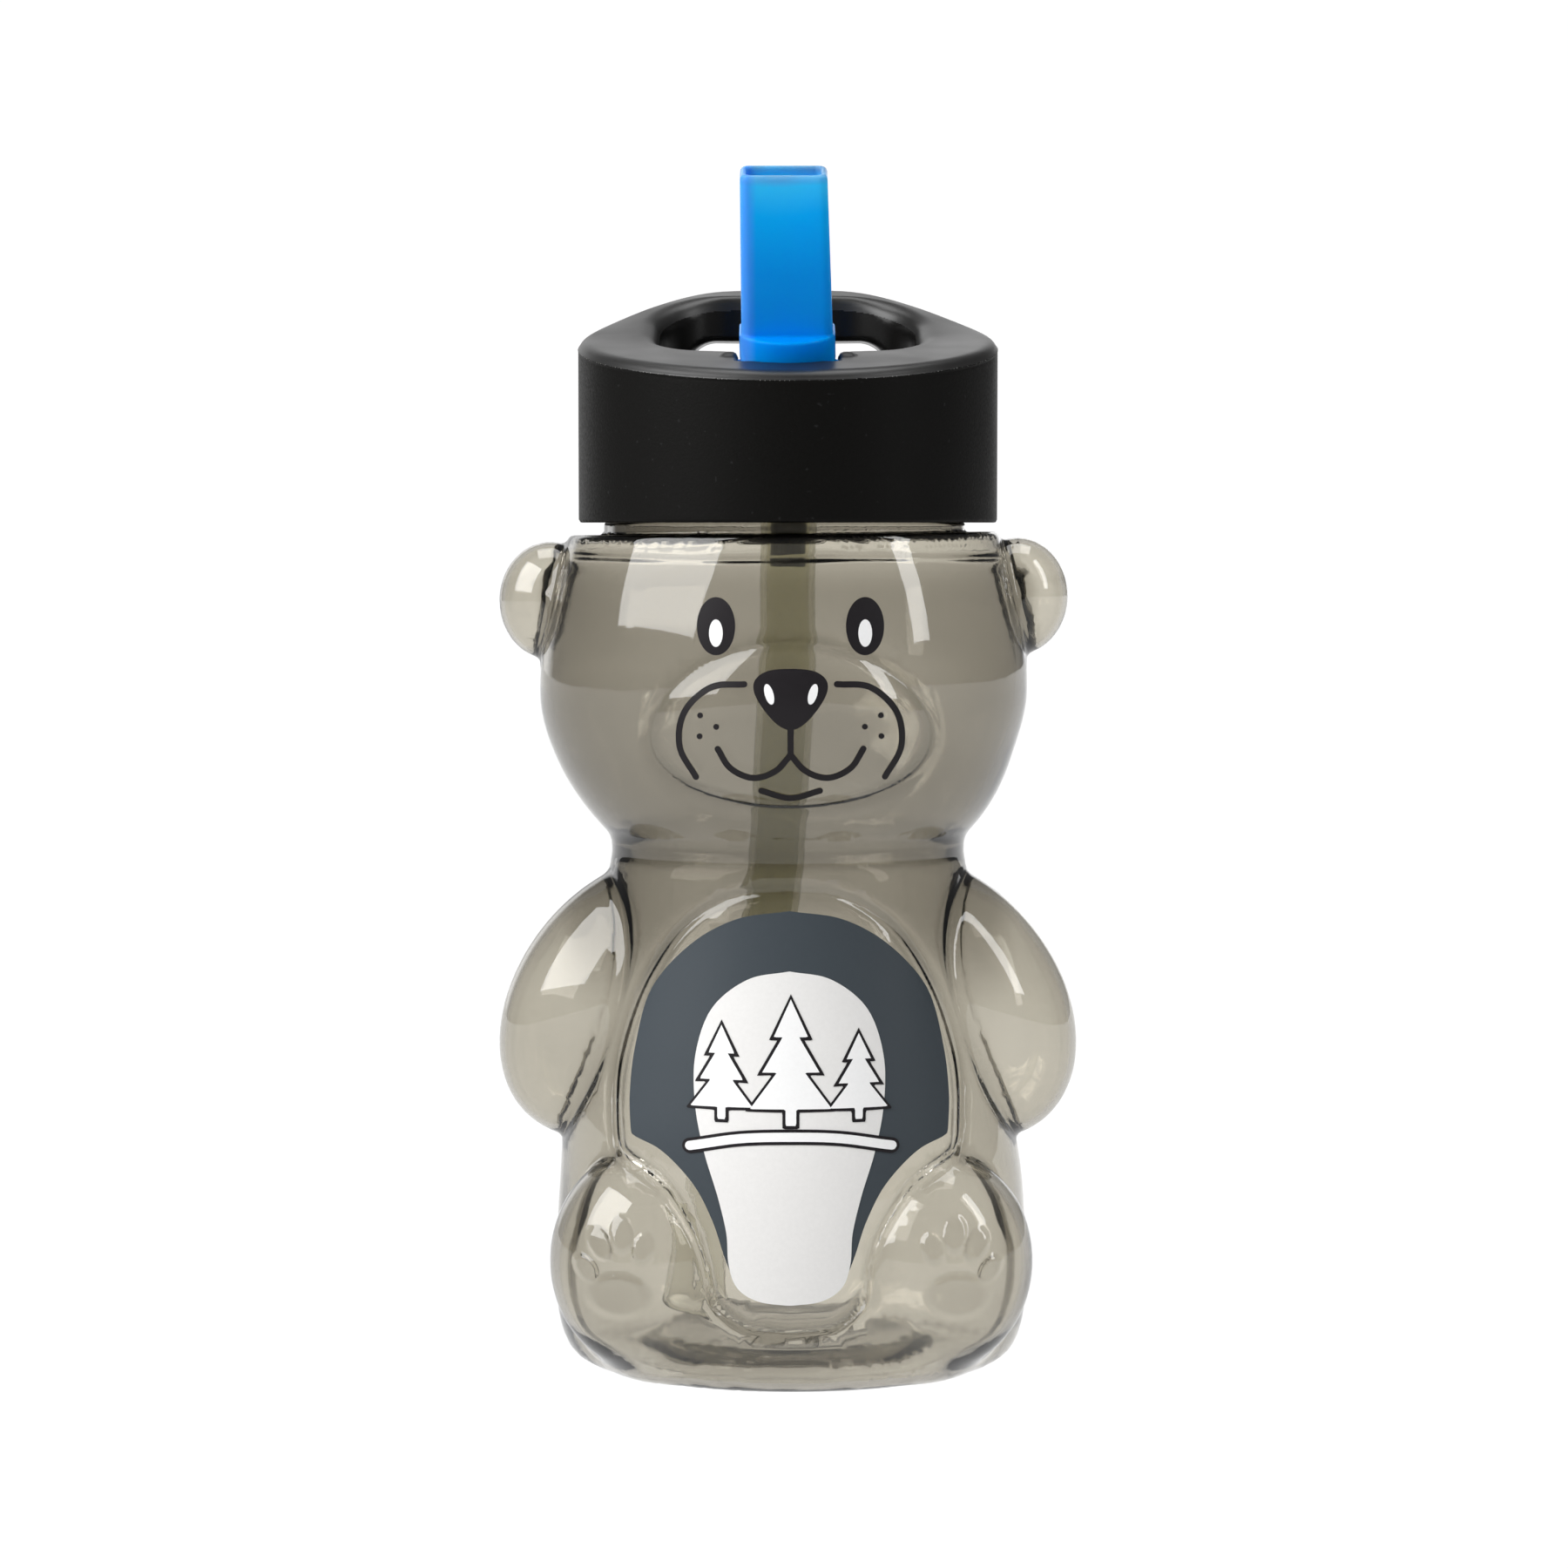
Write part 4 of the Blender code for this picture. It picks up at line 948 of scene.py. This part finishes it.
class Finish(Nodes):
    """A material that ends in one shader."""

    def __init__(self, name):
        self.material = bpy.data.materials.new(name)
        self.material.use_nodes = True
        super().__init__(self.material.node_tree)
        self.tree.nodes.clear()
        self.output = self.tree.nodes.new("ShaderNodeOutputMaterial").inputs
        self.shader = self.node("BsdfPrincipled")[0]
        self.feed(self.output["Surface"], self.shader)
        self.place = self.node("TexCoord")["Object"]

    def set(self, **values):
        """Gives the shader's inputs, whose names' spaces are written as underscores."""
        for key, value in values.items():
            self.feed(self.shader.node.inputs[key.replace("_", " ")], value)

    def noise(self, scale, detail=2.0, roughness=0.5, stretch=(1.0, 1.0, 1.0)):
        place = self.node("Mapping", {"Vector": self.place, "Scale": stretch})[0]
        grain = {"Scale": scale, "Detail": detail, "Roughness": roughness}
        return self.node("TexNoise", {"Vector": place, **grain})["Fac"]

    def ranged(self, value, low, high, to_low, to_high):
        limits = {"From Min": low, "From Max": high, "To Min": to_low, "To Max": to_high}
        return self.node("MapRange", {"Value": value, **limits})["Result"]

    def rough(self, noise, low, high, top=0.7):
        """A roughness that a noise varies between two values."""
        self.set(Roughness=self.ranged(noise, 0.3, top, low, high))

    def coloured(self, value, *stops):
        self.set(Base_Color=self.ramp(value, *stops))

    def disturbed(self, value, noise, share):
        """A value with some of a noise added."""
        return self.node("Math", {0: noise, 1: share, 2: value}, operation="MULTIPLY_ADD")[0]

    def place_along(self, axis):
        return self.node("SeparateXYZ", {0: self.place})[axis]

    def bumps(self, *layers):
        """Bump layers as (height, strength, distance), each on the one before."""
        below = {}
        for height, strength, distance in layers:
            bump = {"Height": height, "Strength": strength, "Distance": distance}
            below = {"Normal": self.node("Bump", {**bump, **below})[0]}
        self.set(**below)


def smoke_plastic():
    """Clear smoke-tinted plastic: the tint comes from the way through the wall."""
    f = Finish("smoke_plastic")
    f.set(Base_Color=(0.966, 0.942, 0.872, 1.0), IOR=1.5, Transmission_Weight=1.0)
    f.rough(f.noise(34.0, 3.0), 0.02, 0.06, top=0.75)
    flow = f.noise(55.0, 1.0, stretch=(1.0, 1.0, 0.35))
    f.bumps((flow, 0.16, 0.0011), (f.noise(420.0), 0.05, 0.00012))
    tint = f.node("VolumeAbsorption", {"Color": (0.33, 0.307, 0.262, 1.0), "Density": 510.0})[0]
    f.feed(f.output["Volume"], tint)
    return f.material


def skirt_plastic():
    """Black moulded plastic with a fine matte grain and a little dust."""
    f = Finish("black_skirt_plastic")
    grain = f.noise(2600.0, 2.0, 0.6)
    f.rough(grain, 0.42, 0.56)
    dust = ((0.80, (0.0032, 0.003, 0.0026)), (0.86, (0.012, 0.012, 0.012)))
    f.coloured(f.noise(1300.0, 0.0), (0.0, (0.0028, 0.0026, 0.0022)), *dust)
    f.set(Specular_IOR_Level=0.08, IOR=1.5)
    f.bumps((grain, 0.25, 0.00012), (f.noise(60.0, 3.0), 0.03, 0.0004))
    return f.material


def cap_plastic(name, gloss, low, high):
    """The same plastic above the parting line, polished to a satin, and smoother in the well."""
    f = Finish(name)
    grain, cloud = f.noise(1900.0, 2.0, 0.6), f.noise(60.0, 3.0)
    f.rough(cloud, low, high)
    f.coloured(grain, (0.2, (0.0038, 0.0036, 0.0033)), (0.8, (0.005, 0.0048, 0.0045)))
    f.set(Specular_IOR_Level=gloss, IOR=1.5)
    f.bumps((grain, 0.05, 0.00008), (cloud, 0.03, 0.0004))
    return f.material


def plain(name, scale, rough, low, high, relief, **settings):
    """A finish whose roughness, colour and relief one noise varies."""
    f = Finish(name)
    grain = f.noise(scale)
    f.rough(grain, *rough)
    f.coloured(grain, low, high)
    f.set(**settings)
    f.bumps((grain, *relief))
    return f.material


def spout_plastic():
    """Translucent azure plastic, deeper towards its foot and darker at the very rim, with a painted glow in
    a band below the rim and painted dull lavender light on its left edge.
    """
    f = Finish("azure_spout_plastic")
    lean = (0.0, -math.sin(SPOUT_LEAN), math.cos(SPOUT_LEAN))
    along = f.node("VectorMath", {0: f.place, 1: lean}, operation="DOT_PRODUCT")["Value"]
    foot = (lean[1] * HINGE[0] + lean[2] * HINGE[1]) * MM
    height = f.ranged(along, foot, foot + SPOUT_LENGTH * MM, 0.0, 0.94)
    flow = f.noise(70.0, 2.0, stretch=(1.0, 1.0, 0.4))
    low = ((0.1, (0.0, 0.25, 0.79)), (0.25, (0.0, 0.26, 0.83)), (0.55, (0.0, 0.285, 0.85)))
    # Painted glow: the stops near the top make a lighter band below the rim.
    high = ((0.82, (0.0, 0.39, 0.95)), (0.95, (0.03, 0.50, 0.98)), (1.0, (0.12, 0.26, 0.46)))
    colour = f.ramp(f.disturbed(height, flow, 0.12), *low, *high)
    # Painted light: the left edge turns a dull lavender, standing in for how its side face catches the
    # light.
    edge = f.ranged(f.place_along("X"), -0.0046, -0.0060, 0.0, 0.75)
    f.set(Base_Color=f.mixed(edge, colour, (0.07, 0.25, 0.78, 1.0)), IOR=1.48, Specular_IOR_Level=0.05)
    f.rough(flow, 0.16, 0.26)
    f.set(Subsurface_Weight=0.55, Subsurface_Scale=0.004, Subsurface_Radius=(0.35, 0.8, 1.0))
    f.bumps((flow, 0.05, 0.0005))
    return f.material


def straw_plastic():
    """Grey clear plastic, paler at the foot, where less of the bottle lies before it."""
    f = Finish("grey_straw_plastic")
    haze = f.noise(90.0, 3.0, stretch=(1.0, 1.0, 0.3))
    f.rough(haze, 0.12, 0.22)
    height = f.ranged(f.place_along("Z"), 0.03, 0.11, 0.0, 0.9)
    foot, middle, top = (0.93, 0.925, 0.89), (0.68, 0.67, 0.555), (0.76, 0.75, 0.64)
    f.coloured(f.disturbed(height, haze, 0.1), (0.0, foot), (0.48, middle), (0.72, middle), (0.92, top))
    f.set(Transmission_Weight=0.97, IOR=1.28)
    f.bumps((haze, 0.05, 0.0004))
    return f.material


def ink(name, colour, rough=0.42):
    """Screen-printed ink: an opaque film with a faint mesh."""
    darker = tuple(c * 0.965 for c in colour)
    look = (rough - 0.06, rough + 0.06), (0.25, darker), (0.75, colour), (0.04, 0.00006)
    return plain(name, 1800.0, *look, Specular_IOR_Level=0.14)


SMOKE = smoke_plastic()
SKIRT_BLACK = skirt_plastic()
CAP_BLACK = cap_plastic("black_cap_plastic", 0.62, 0.36, 0.46)
WELL_BLACK = cap_plastic("black_well_plastic", 0.2, 0.22, 0.28)
LINER = plain(
    "black_liner_plastic",
    700.0,
    (0.34, 0.46),
    (0.0, (0.009, 0.009, 0.0095)),
    (1.0, (0.013, 0.013, 0.0135)),
    (0.05, 0.0001),
)
SILICONE = plain(
    "pale_silicone",
    180.0,
    (0.42, 0.55),
    (0.2, (0.50, 0.52, 0.53)),
    (0.8, (0.58, 0.60, 0.61)),
    (0.04, 0.0002),
    Subsurface_Weight=0.25,
    Subsurface_Scale=0.002,
    Subsurface_Radius=(1.0, 1.0, 1.0),
)
AZURE = spout_plastic()
STRAW = straw_plastic()
INK_BLACK = ink("black_ink", (0.016, 0.014, 0.016))
INK_WHITE = ink("white_ink", (0.97, 0.97, 0.97))
INK_SLATE = ink("slate_ink", (0.058, 0.070, 0.081))
INK_PALE = ink("pale_ink", (0.85, 0.84, 0.825))


# Pieces

STRAW_RADIUS = 4.05
STRAW_WALL = 0.95
THREAD = {"Turns": 1.2, "Pitch": 4.0 * MM, "Width": 0.95 * MM, "Steps": 220}
THREAD_START = SHOULDER + 5.6
THREAD_TURN = math.radians(93.0)


def dress(obj, body, replaces=None):
    """A piece that rides a body and takes the place of one of the frame's nodes."""
    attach(obj, body)
    if replaces:
        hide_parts(replaces)
    return obj


def make_straw():
    """The straw, which leaves the liner straight down and bends towards the bottle's left foot."""
    top, foot = np.array((0.0, -15.5, 138.2)), np.array((-15.0, -0.4, 7.6))
    shares = (
        (0.0, 0.0, 0.0), (0.0, 0.0, 0.08), (0.0, 0.0, 0.16), (0.01, 0.02, 0.25), (0.05, 0.07, 0.35),
        (0.11, 0.17, 0.46), (0.21, 0.30, 0.56), (0.37, 0.46, 0.66), (0.57, 0.63, 0.77), (0.77, 0.80, 0.87),
        (1.0, 1.0, 1.0),
    )
    route = smooth_line([top + (foot - top) * np.array(s) for s in shares], 12)
    values = {"Radius": STRAW_RADIUS * MM, "Sides": 56, "Spacing": 1.2 * MM}
    obj = grown("straw", tube_tree(STRAW), values, path_mesh("straw_path", route), STRAW_WALL * MM)
    return dress(obj, "lid", "straw_tube")


def make_thread():
    """The ridge of the neck's thread, turned and lifted to its place."""
    obj = grown("neck_thread", thread_tree(SMOKE), {**THREAD, "Radius": (NECK_RADIUS + 0.1) * MM})
    turn = Matrix.Rotation(THREAD_TURN, 4, "Z")
    obj.data.transform(Matrix.Translation((0.0, 0.0, THREAD_START * MM)) @ turn)
    return dress(obj, "bottle")


def make_specks():
    """Specks of flash along the lid's parting line."""
    angle = np.linspace(math.radians(-178.0), math.radians(178.0), 360)
    r = LID_RADIUS + 0.02
    y = r * np.sin(angle)
    line = np.stack([r * np.cos(angle), y, PARTING + LID_SLOPE * y], axis=1)
    values = {"Spacing": 0.7 * MM, "Size": 0.09 * MM, "Seed": 7}
    obj = grown("lid_parting_flash", speck_tree(FLASH), values, path_mesh("parting_path", line))
    return dress(obj, "lid")


FLASH = ink("flash_grey", (0.22, 0.22, 0.21), 0.6)

dress(make_bottle(), "bottle", "bottle_body")
make_thread()
make_straw()


def at_parting(p):
    """The parting line and the finger well's edge."""
    x, y, z = p.T
    parting = (np.abs(over_parting(p)) < 0.6) & (np.hypot(x, y) > LID_RADIUS - 0.9)
    return parting | ((np.abs(lid_top(x, y) - z - 2.2) < 0.5) & (np.abs(well_form(x, y)) < 1.5))


def make_lid():
    """The shell, split along the parting line, where the matte skirt meets the satin cap."""
    points, quads = net_surface(lid_form, (-32.6, -32.6, 125.8), (32.6, 32.6, 163.5), LID_CELL)
    points = settled(lid_form, points, quads, LID_CELL, 2)
    points, faces = refined(lid_form, points, quads.tolist(), at_parting, 2)
    high = over_parting(points)
    close = (np.abs(high) < 0.08) & (np.hypot(points[:, 0], points[:, 1]) > LID_RADIUS - 0.6)
    points[close, 2] -= high[close]
    obj = mesh_piece("lid", points, faces, SKIRT_BLACK, unit(slope(lid_form, points, 0.08)))
    mesh = obj.data
    for material in (CAP_BLACK, WELL_BLACK):
        mesh.materials.append(material)
    middles = np.empty(len(mesh.polygons) * 3)
    mesh.polygons.foreach_get("center", middles)
    middles = middles.reshape(-1, 3) / MM
    x, y, z = middles.T
    above = (over_parting(middles) > 0.0) | (np.hypot(x, y) < LID_RADIUS - 0.6)
    within_well = (np.hypot(x, y) < 28.5) & (lid_top(x, y) - z > 2.2)
    mesh.polygons.foreach_set("material_index", np.where(within_well, 2, above).astype(np.int32))
    return dress(obj, "lid", "lid_shell")


def make_spout():
    """The spout, from its field."""
    points, quads = net_surface(spout_form, (-9.3, -32.0, 143.8), (9.3, -9.0, 179.5), SPOUT_CELL)
    points = settled(spout_form, points, quads, SPOUT_CELL, 2)
    normals = unit(slope(spout_form, points, 0.08))
    obj = mesh_piece("spout", points, quads.tolist(), AZURE, normals)
    return dress(obj, "spout", "flip_spout")


make_lid()
make_specks()
make_spout()
for node in ("lid_liner", "lid_gasket", "vent_valve", "spout_seal"):
    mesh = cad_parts[node].data
    mesh.materials.clear()
    mesh.materials.append(LINER if node == "lid_liner" else SILICONE)


# Prints: a face and a belly of a plain kind

# The face's middle, and how high each layer of ink lies over the wall
CENTRE = 0.35
LAYERS = (0.06, 0.13, 0.20, 0.27)


def both_sides(line):
    """A line and its mirror image about the face's middle."""
    line = np.asarray(line, float)
    return [line + (CENTRE, 0.0), line * (-1.0, 1.0) + (CENTRE, 0.0)]


EYES = ((-10.3, 111.9), (11.0, 111.9))
EYE_GLINTS = ((-10.3, 110.9), (11.0, 110.9))
printed("eye_prints", [oval(place, (2.75, 4.15), 7) for place in EYES], LAYERS[0], INK_BLACK)
glints = [oval(place, (0.98, 1.95), 4, steps=32) for place in EYE_GLINTS]
printed("eye_glints", glints, LAYERS[1], INK_WHITE)

NOSE_RIGHT = (
    (0.0, 105.9), (3.2, 105.6), (5.0, 104.4), (5.2, 102.6), (3.9, 100.2), (1.9, 98.0), (0.0, 97.2),
)
nose = [*NOSE_RIGHT, *((-x, z) for x, z in NOSE_RIGHT[-2:0:-1])]
nose = smooth_line(nose, 6, closed=True) + (CENTRE, 0.0)
printed("nose_print", [star_patch((CENTRE, 102.0), nose, 9)], LAYERS[0], INK_BLACK)
glints = [oval((x, 102.3), (0.62, 1.5), 4, turn, 28) for x, turn in ((-2.7, 16.0), (3.5, -16.0))]
printed("nose_glints", glints, LAYERS[1], INK_WHITE)

smile = [np.array([(CENTRE, 97.4), (CENTRE, 95.6), (CENTRE, 93.6)])]
smile += both_sides(smooth_line([(0.0, 93.6), (2.2, 91.2), (5.4, 90.2), (8.6, 91.6), (10.4, 94.4)], 8))
smile += both_sides(smooth_line([(6.6, 103.7), (11.4, 103.2), (15.2, 99.6), (15.9, 94.6), (13.6, 90.2)], 8))
smile += [smooth_line([(CENTRE - 4.2, 88.3), (CENTRE, 87.2), (CENTRE + 4.2, 88.3)], 8)]
printed("smile_print", [stroke_patch(line, 0.9) for line in smile], LAYERS[0], INK_BLACK)
FRECKLES = ((10.6, 97.6), (13.0, 96.2), (12.9, 99.2))
freckles = [(x * side + CENTRE, z) for side in (-1, 1) for x, z in FRECKLES]
printed("freckle_print", [oval(c, (0.42, 0.42), 2, steps=20) for c in freckles], LAYERS[0], INK_BLACK)

FIELD_TOP = (
    (0.0, 70.3), (7.8, 69.0), (14.6, 65.0), (20.2, 58.4), (22.6, 50.0), (23.4, 43.0), (23.2, 37.4),
)
FIELD_FOOT = (
    (22.6, 37.0), (18.4, 35.2), (13.9, 30.8), (11.1, 25.6),
    (9.4, 20.6), (7.9, 17.6), (4.6, 15.6), (0.0, 15.0),
)
PATCH = (
    (0.0, 61.6), (6.0, 60.4), (11.2, 56.2), (13.6, 49.6), (13.7, 42.6), (12.4, 35.8),
    (10.4, 29.4), (9.1, 24.0), (8.8, 19.6), (7.6, 16.2), (4.6, 14.3), (0.0, 13.7),
)
field = np.concatenate([smooth_line(FIELD_TOP, 7), smooth_line(FIELD_FOOT, 6)])
for label, right, layer, tint in (
    ("field", field, LAYERS[0], INK_SLATE),
    ("patch", smooth_line(PATCH, 6), LAYERS[1], INK_PALE),
):
    outline = mirrored_outline(right) + (0.2, 0.0)
    printed(f"belly_{label}_print", [filled_patch(outline, 0.7, 1.1)], layer, tint)

PINE_RIGHT = (
    (0.0, 1.0), (0.42, 0.70), (0.20, 0.70), (0.70, 0.42),
    (0.34, 0.42), (1.0, 0.13), (0.13, 0.13), (0.13, 0.0),
)


def pine(x, z, tall, wide, grow):
    """A plain pine tree's outline that stands on (x, z), grown outwards for its dark edge."""
    line = np.array(PINE_RIGHT) * (wide, tall)
    line = np.concatenate([line, line[::-1][:-1] * (-1.0, 1.0)])
    if grow:
        ahead, behind = np.roll(line, -1, axis=0) - line, line - np.roll(line, 1, axis=0)
        n1, n2 = (unit(np.stack([-way[:, 1], way[:, 0]], axis=1)) for way in (ahead, behind))
        both = n1 + n2
        line = line + grow * both / np.maximum((both * n1).sum(1), 0.5)[:, None]
    return line + (x, z)


PINES = ((-9.6, 40.4, 13.4, 4.5), (0.4, 39.6, 18.0, 5.9), (10.2, 40.4, 12.2, 4.2))
GROUND = smooth_line([(-14.2, 36.4), (-7.0, 37.7), (0.4, 38.0), (7.6, 37.7), (15.0, 36.4)], 6)
for label, grow, layer, tint in (
    ("dark", 0.45, LAYERS[2], INK_BLACK),
    ("light", 0.0, LAYERS[3], INK_WHITE),
):
    trees = [filled_patch(pine(*tree, grow), 0.45, 0.9) for tree in PINES]
    printed(f"pine_{label}_print", trees, layer, tint)
    printed(f"ground_{label}_print", [stroke_patch(GROUND, 1.3 + 2 * grow)], layer, tint)


# Stage, lights and camera


def softbox(name, place, size, power):
    """A rectangular light that is aimed at the bottle's upper half."""
    light = bpy.data.lights.new(name, "AREA")
    light.shape = "RECTANGLE"
    light.size, light.size_y = size
    light.energy = power
    obj = placed(name, light)
    obj.location = place
    way = Vector((0.0, 0.0, 0.1)) - Vector(place)
    obj.rotation_euler = way.to_track_quat("-Z", "Y").to_euler()


def grey(value):
    return (value, value, value)


def make_stage():
    """A floor that is pale for light, and white where it is seen straight, through plastic or in gloss."""
    floor = bpy.data.meshes.new("floor")
    reach = 6.0
    corners = [(-reach, -reach, 0), (reach, -reach, 0), (reach, reach, 0), (-reach, reach, 0)]
    floor.from_pydata(corners, [], [(0, 1, 2, 3)])
    obj = placed("floor", floor)
    f = Finish("pale_floor")
    f.set(Base_Color=(*grey(0.5), 1.0), Roughness=0.9, Specular_IOR_Level=0.0)
    f.set(Emission_Color=(*grey(1.0), 1.0), Emission_Strength=0.08)
    bright = f.node("Emission", {"Strength": 1.06})[0]
    seen = f.seen_directly("Glossy")
    f.feed(f.output["Surface"], f.node("MixShader", {0: seen, 1: f.shader, 2: bright})[0])
    floor.materials.append(f.material)


def make_world():
    """White behind the bottle, and for its light a dim room with a bright patch at the back."""
    world = bpy.data.worlds.new("soft_studio")
    scene.world = world
    world.use_nodes = True
    w = Nodes(world.node_tree)
    way = w.node("TexCoord")["Generated"]
    walls = w.ramp(w.node("SeparateXYZ", {0: way})["Z"], (0.1, grey(0.15)), (0.8, grey(0.12)))
    back = w.node("VectorMath", {0: way, 1: (-0.15, 0.989, 0.0)}, operation="DOT_PRODUCT")["Value"]
    shares = ((0.80, 0.0), (0.91, 1.0), (0.95, 0.9), (0.98, 0.4))
    patch = w.ramp(back, *((position, grey(share)) for position, share in shares), ease="EASE")
    room = w.mixed(patch, walls, (*grey(1.6), 1.0))
    background = world.node_tree.nodes["Background"].inputs
    w.feed(background["Color"], w.mixed(w.seen_directly(), room, (*grey(1.0), 1.0)))
    background["Strength"].default_value = 1.02


CAMERA_DISTANCE = 590.0
CAMERA_HEIGHT = 126.7
CAMERA_TILT = 3.831
FOCAL_LENGTH = 89.61


def make_camera():
    """The photo's camera, which looks a little down."""
    camera = bpy.data.cameras.new("camera")
    camera.sensor_width = 36.0
    camera.lens = FOCAL_LENGTH
    camera.clip_start = 0.01
    obj = placed("camera", camera)
    obj.location = (-0.59 * MM, -CAMERA_DISTANCE * MM, CAMERA_HEIGHT * MM)
    obj.rotation_euler = (math.radians(90.0 - CAMERA_TILT), 0.0, 0.0)
    scene.camera = obj


make_stage()
make_world()
make_camera()
softbox("left_softbox", (-0.80, -0.47, 0.72), (0.9, 0.86), 16.0)
softbox("right_strip", (0.80, -0.42, 0.66), (0.17, 0.86), 3.4)
softbox("top_softbox", (0.0, 0.1, 0.95), (0.7, 0.5), 4.0)
scene.view_settings.view_transform = "Standard"

cycles = scene.cycles
cycles.max_bounces, cycles.transmission_bounces, cycles.glossy_bounces = 24, 24, 8
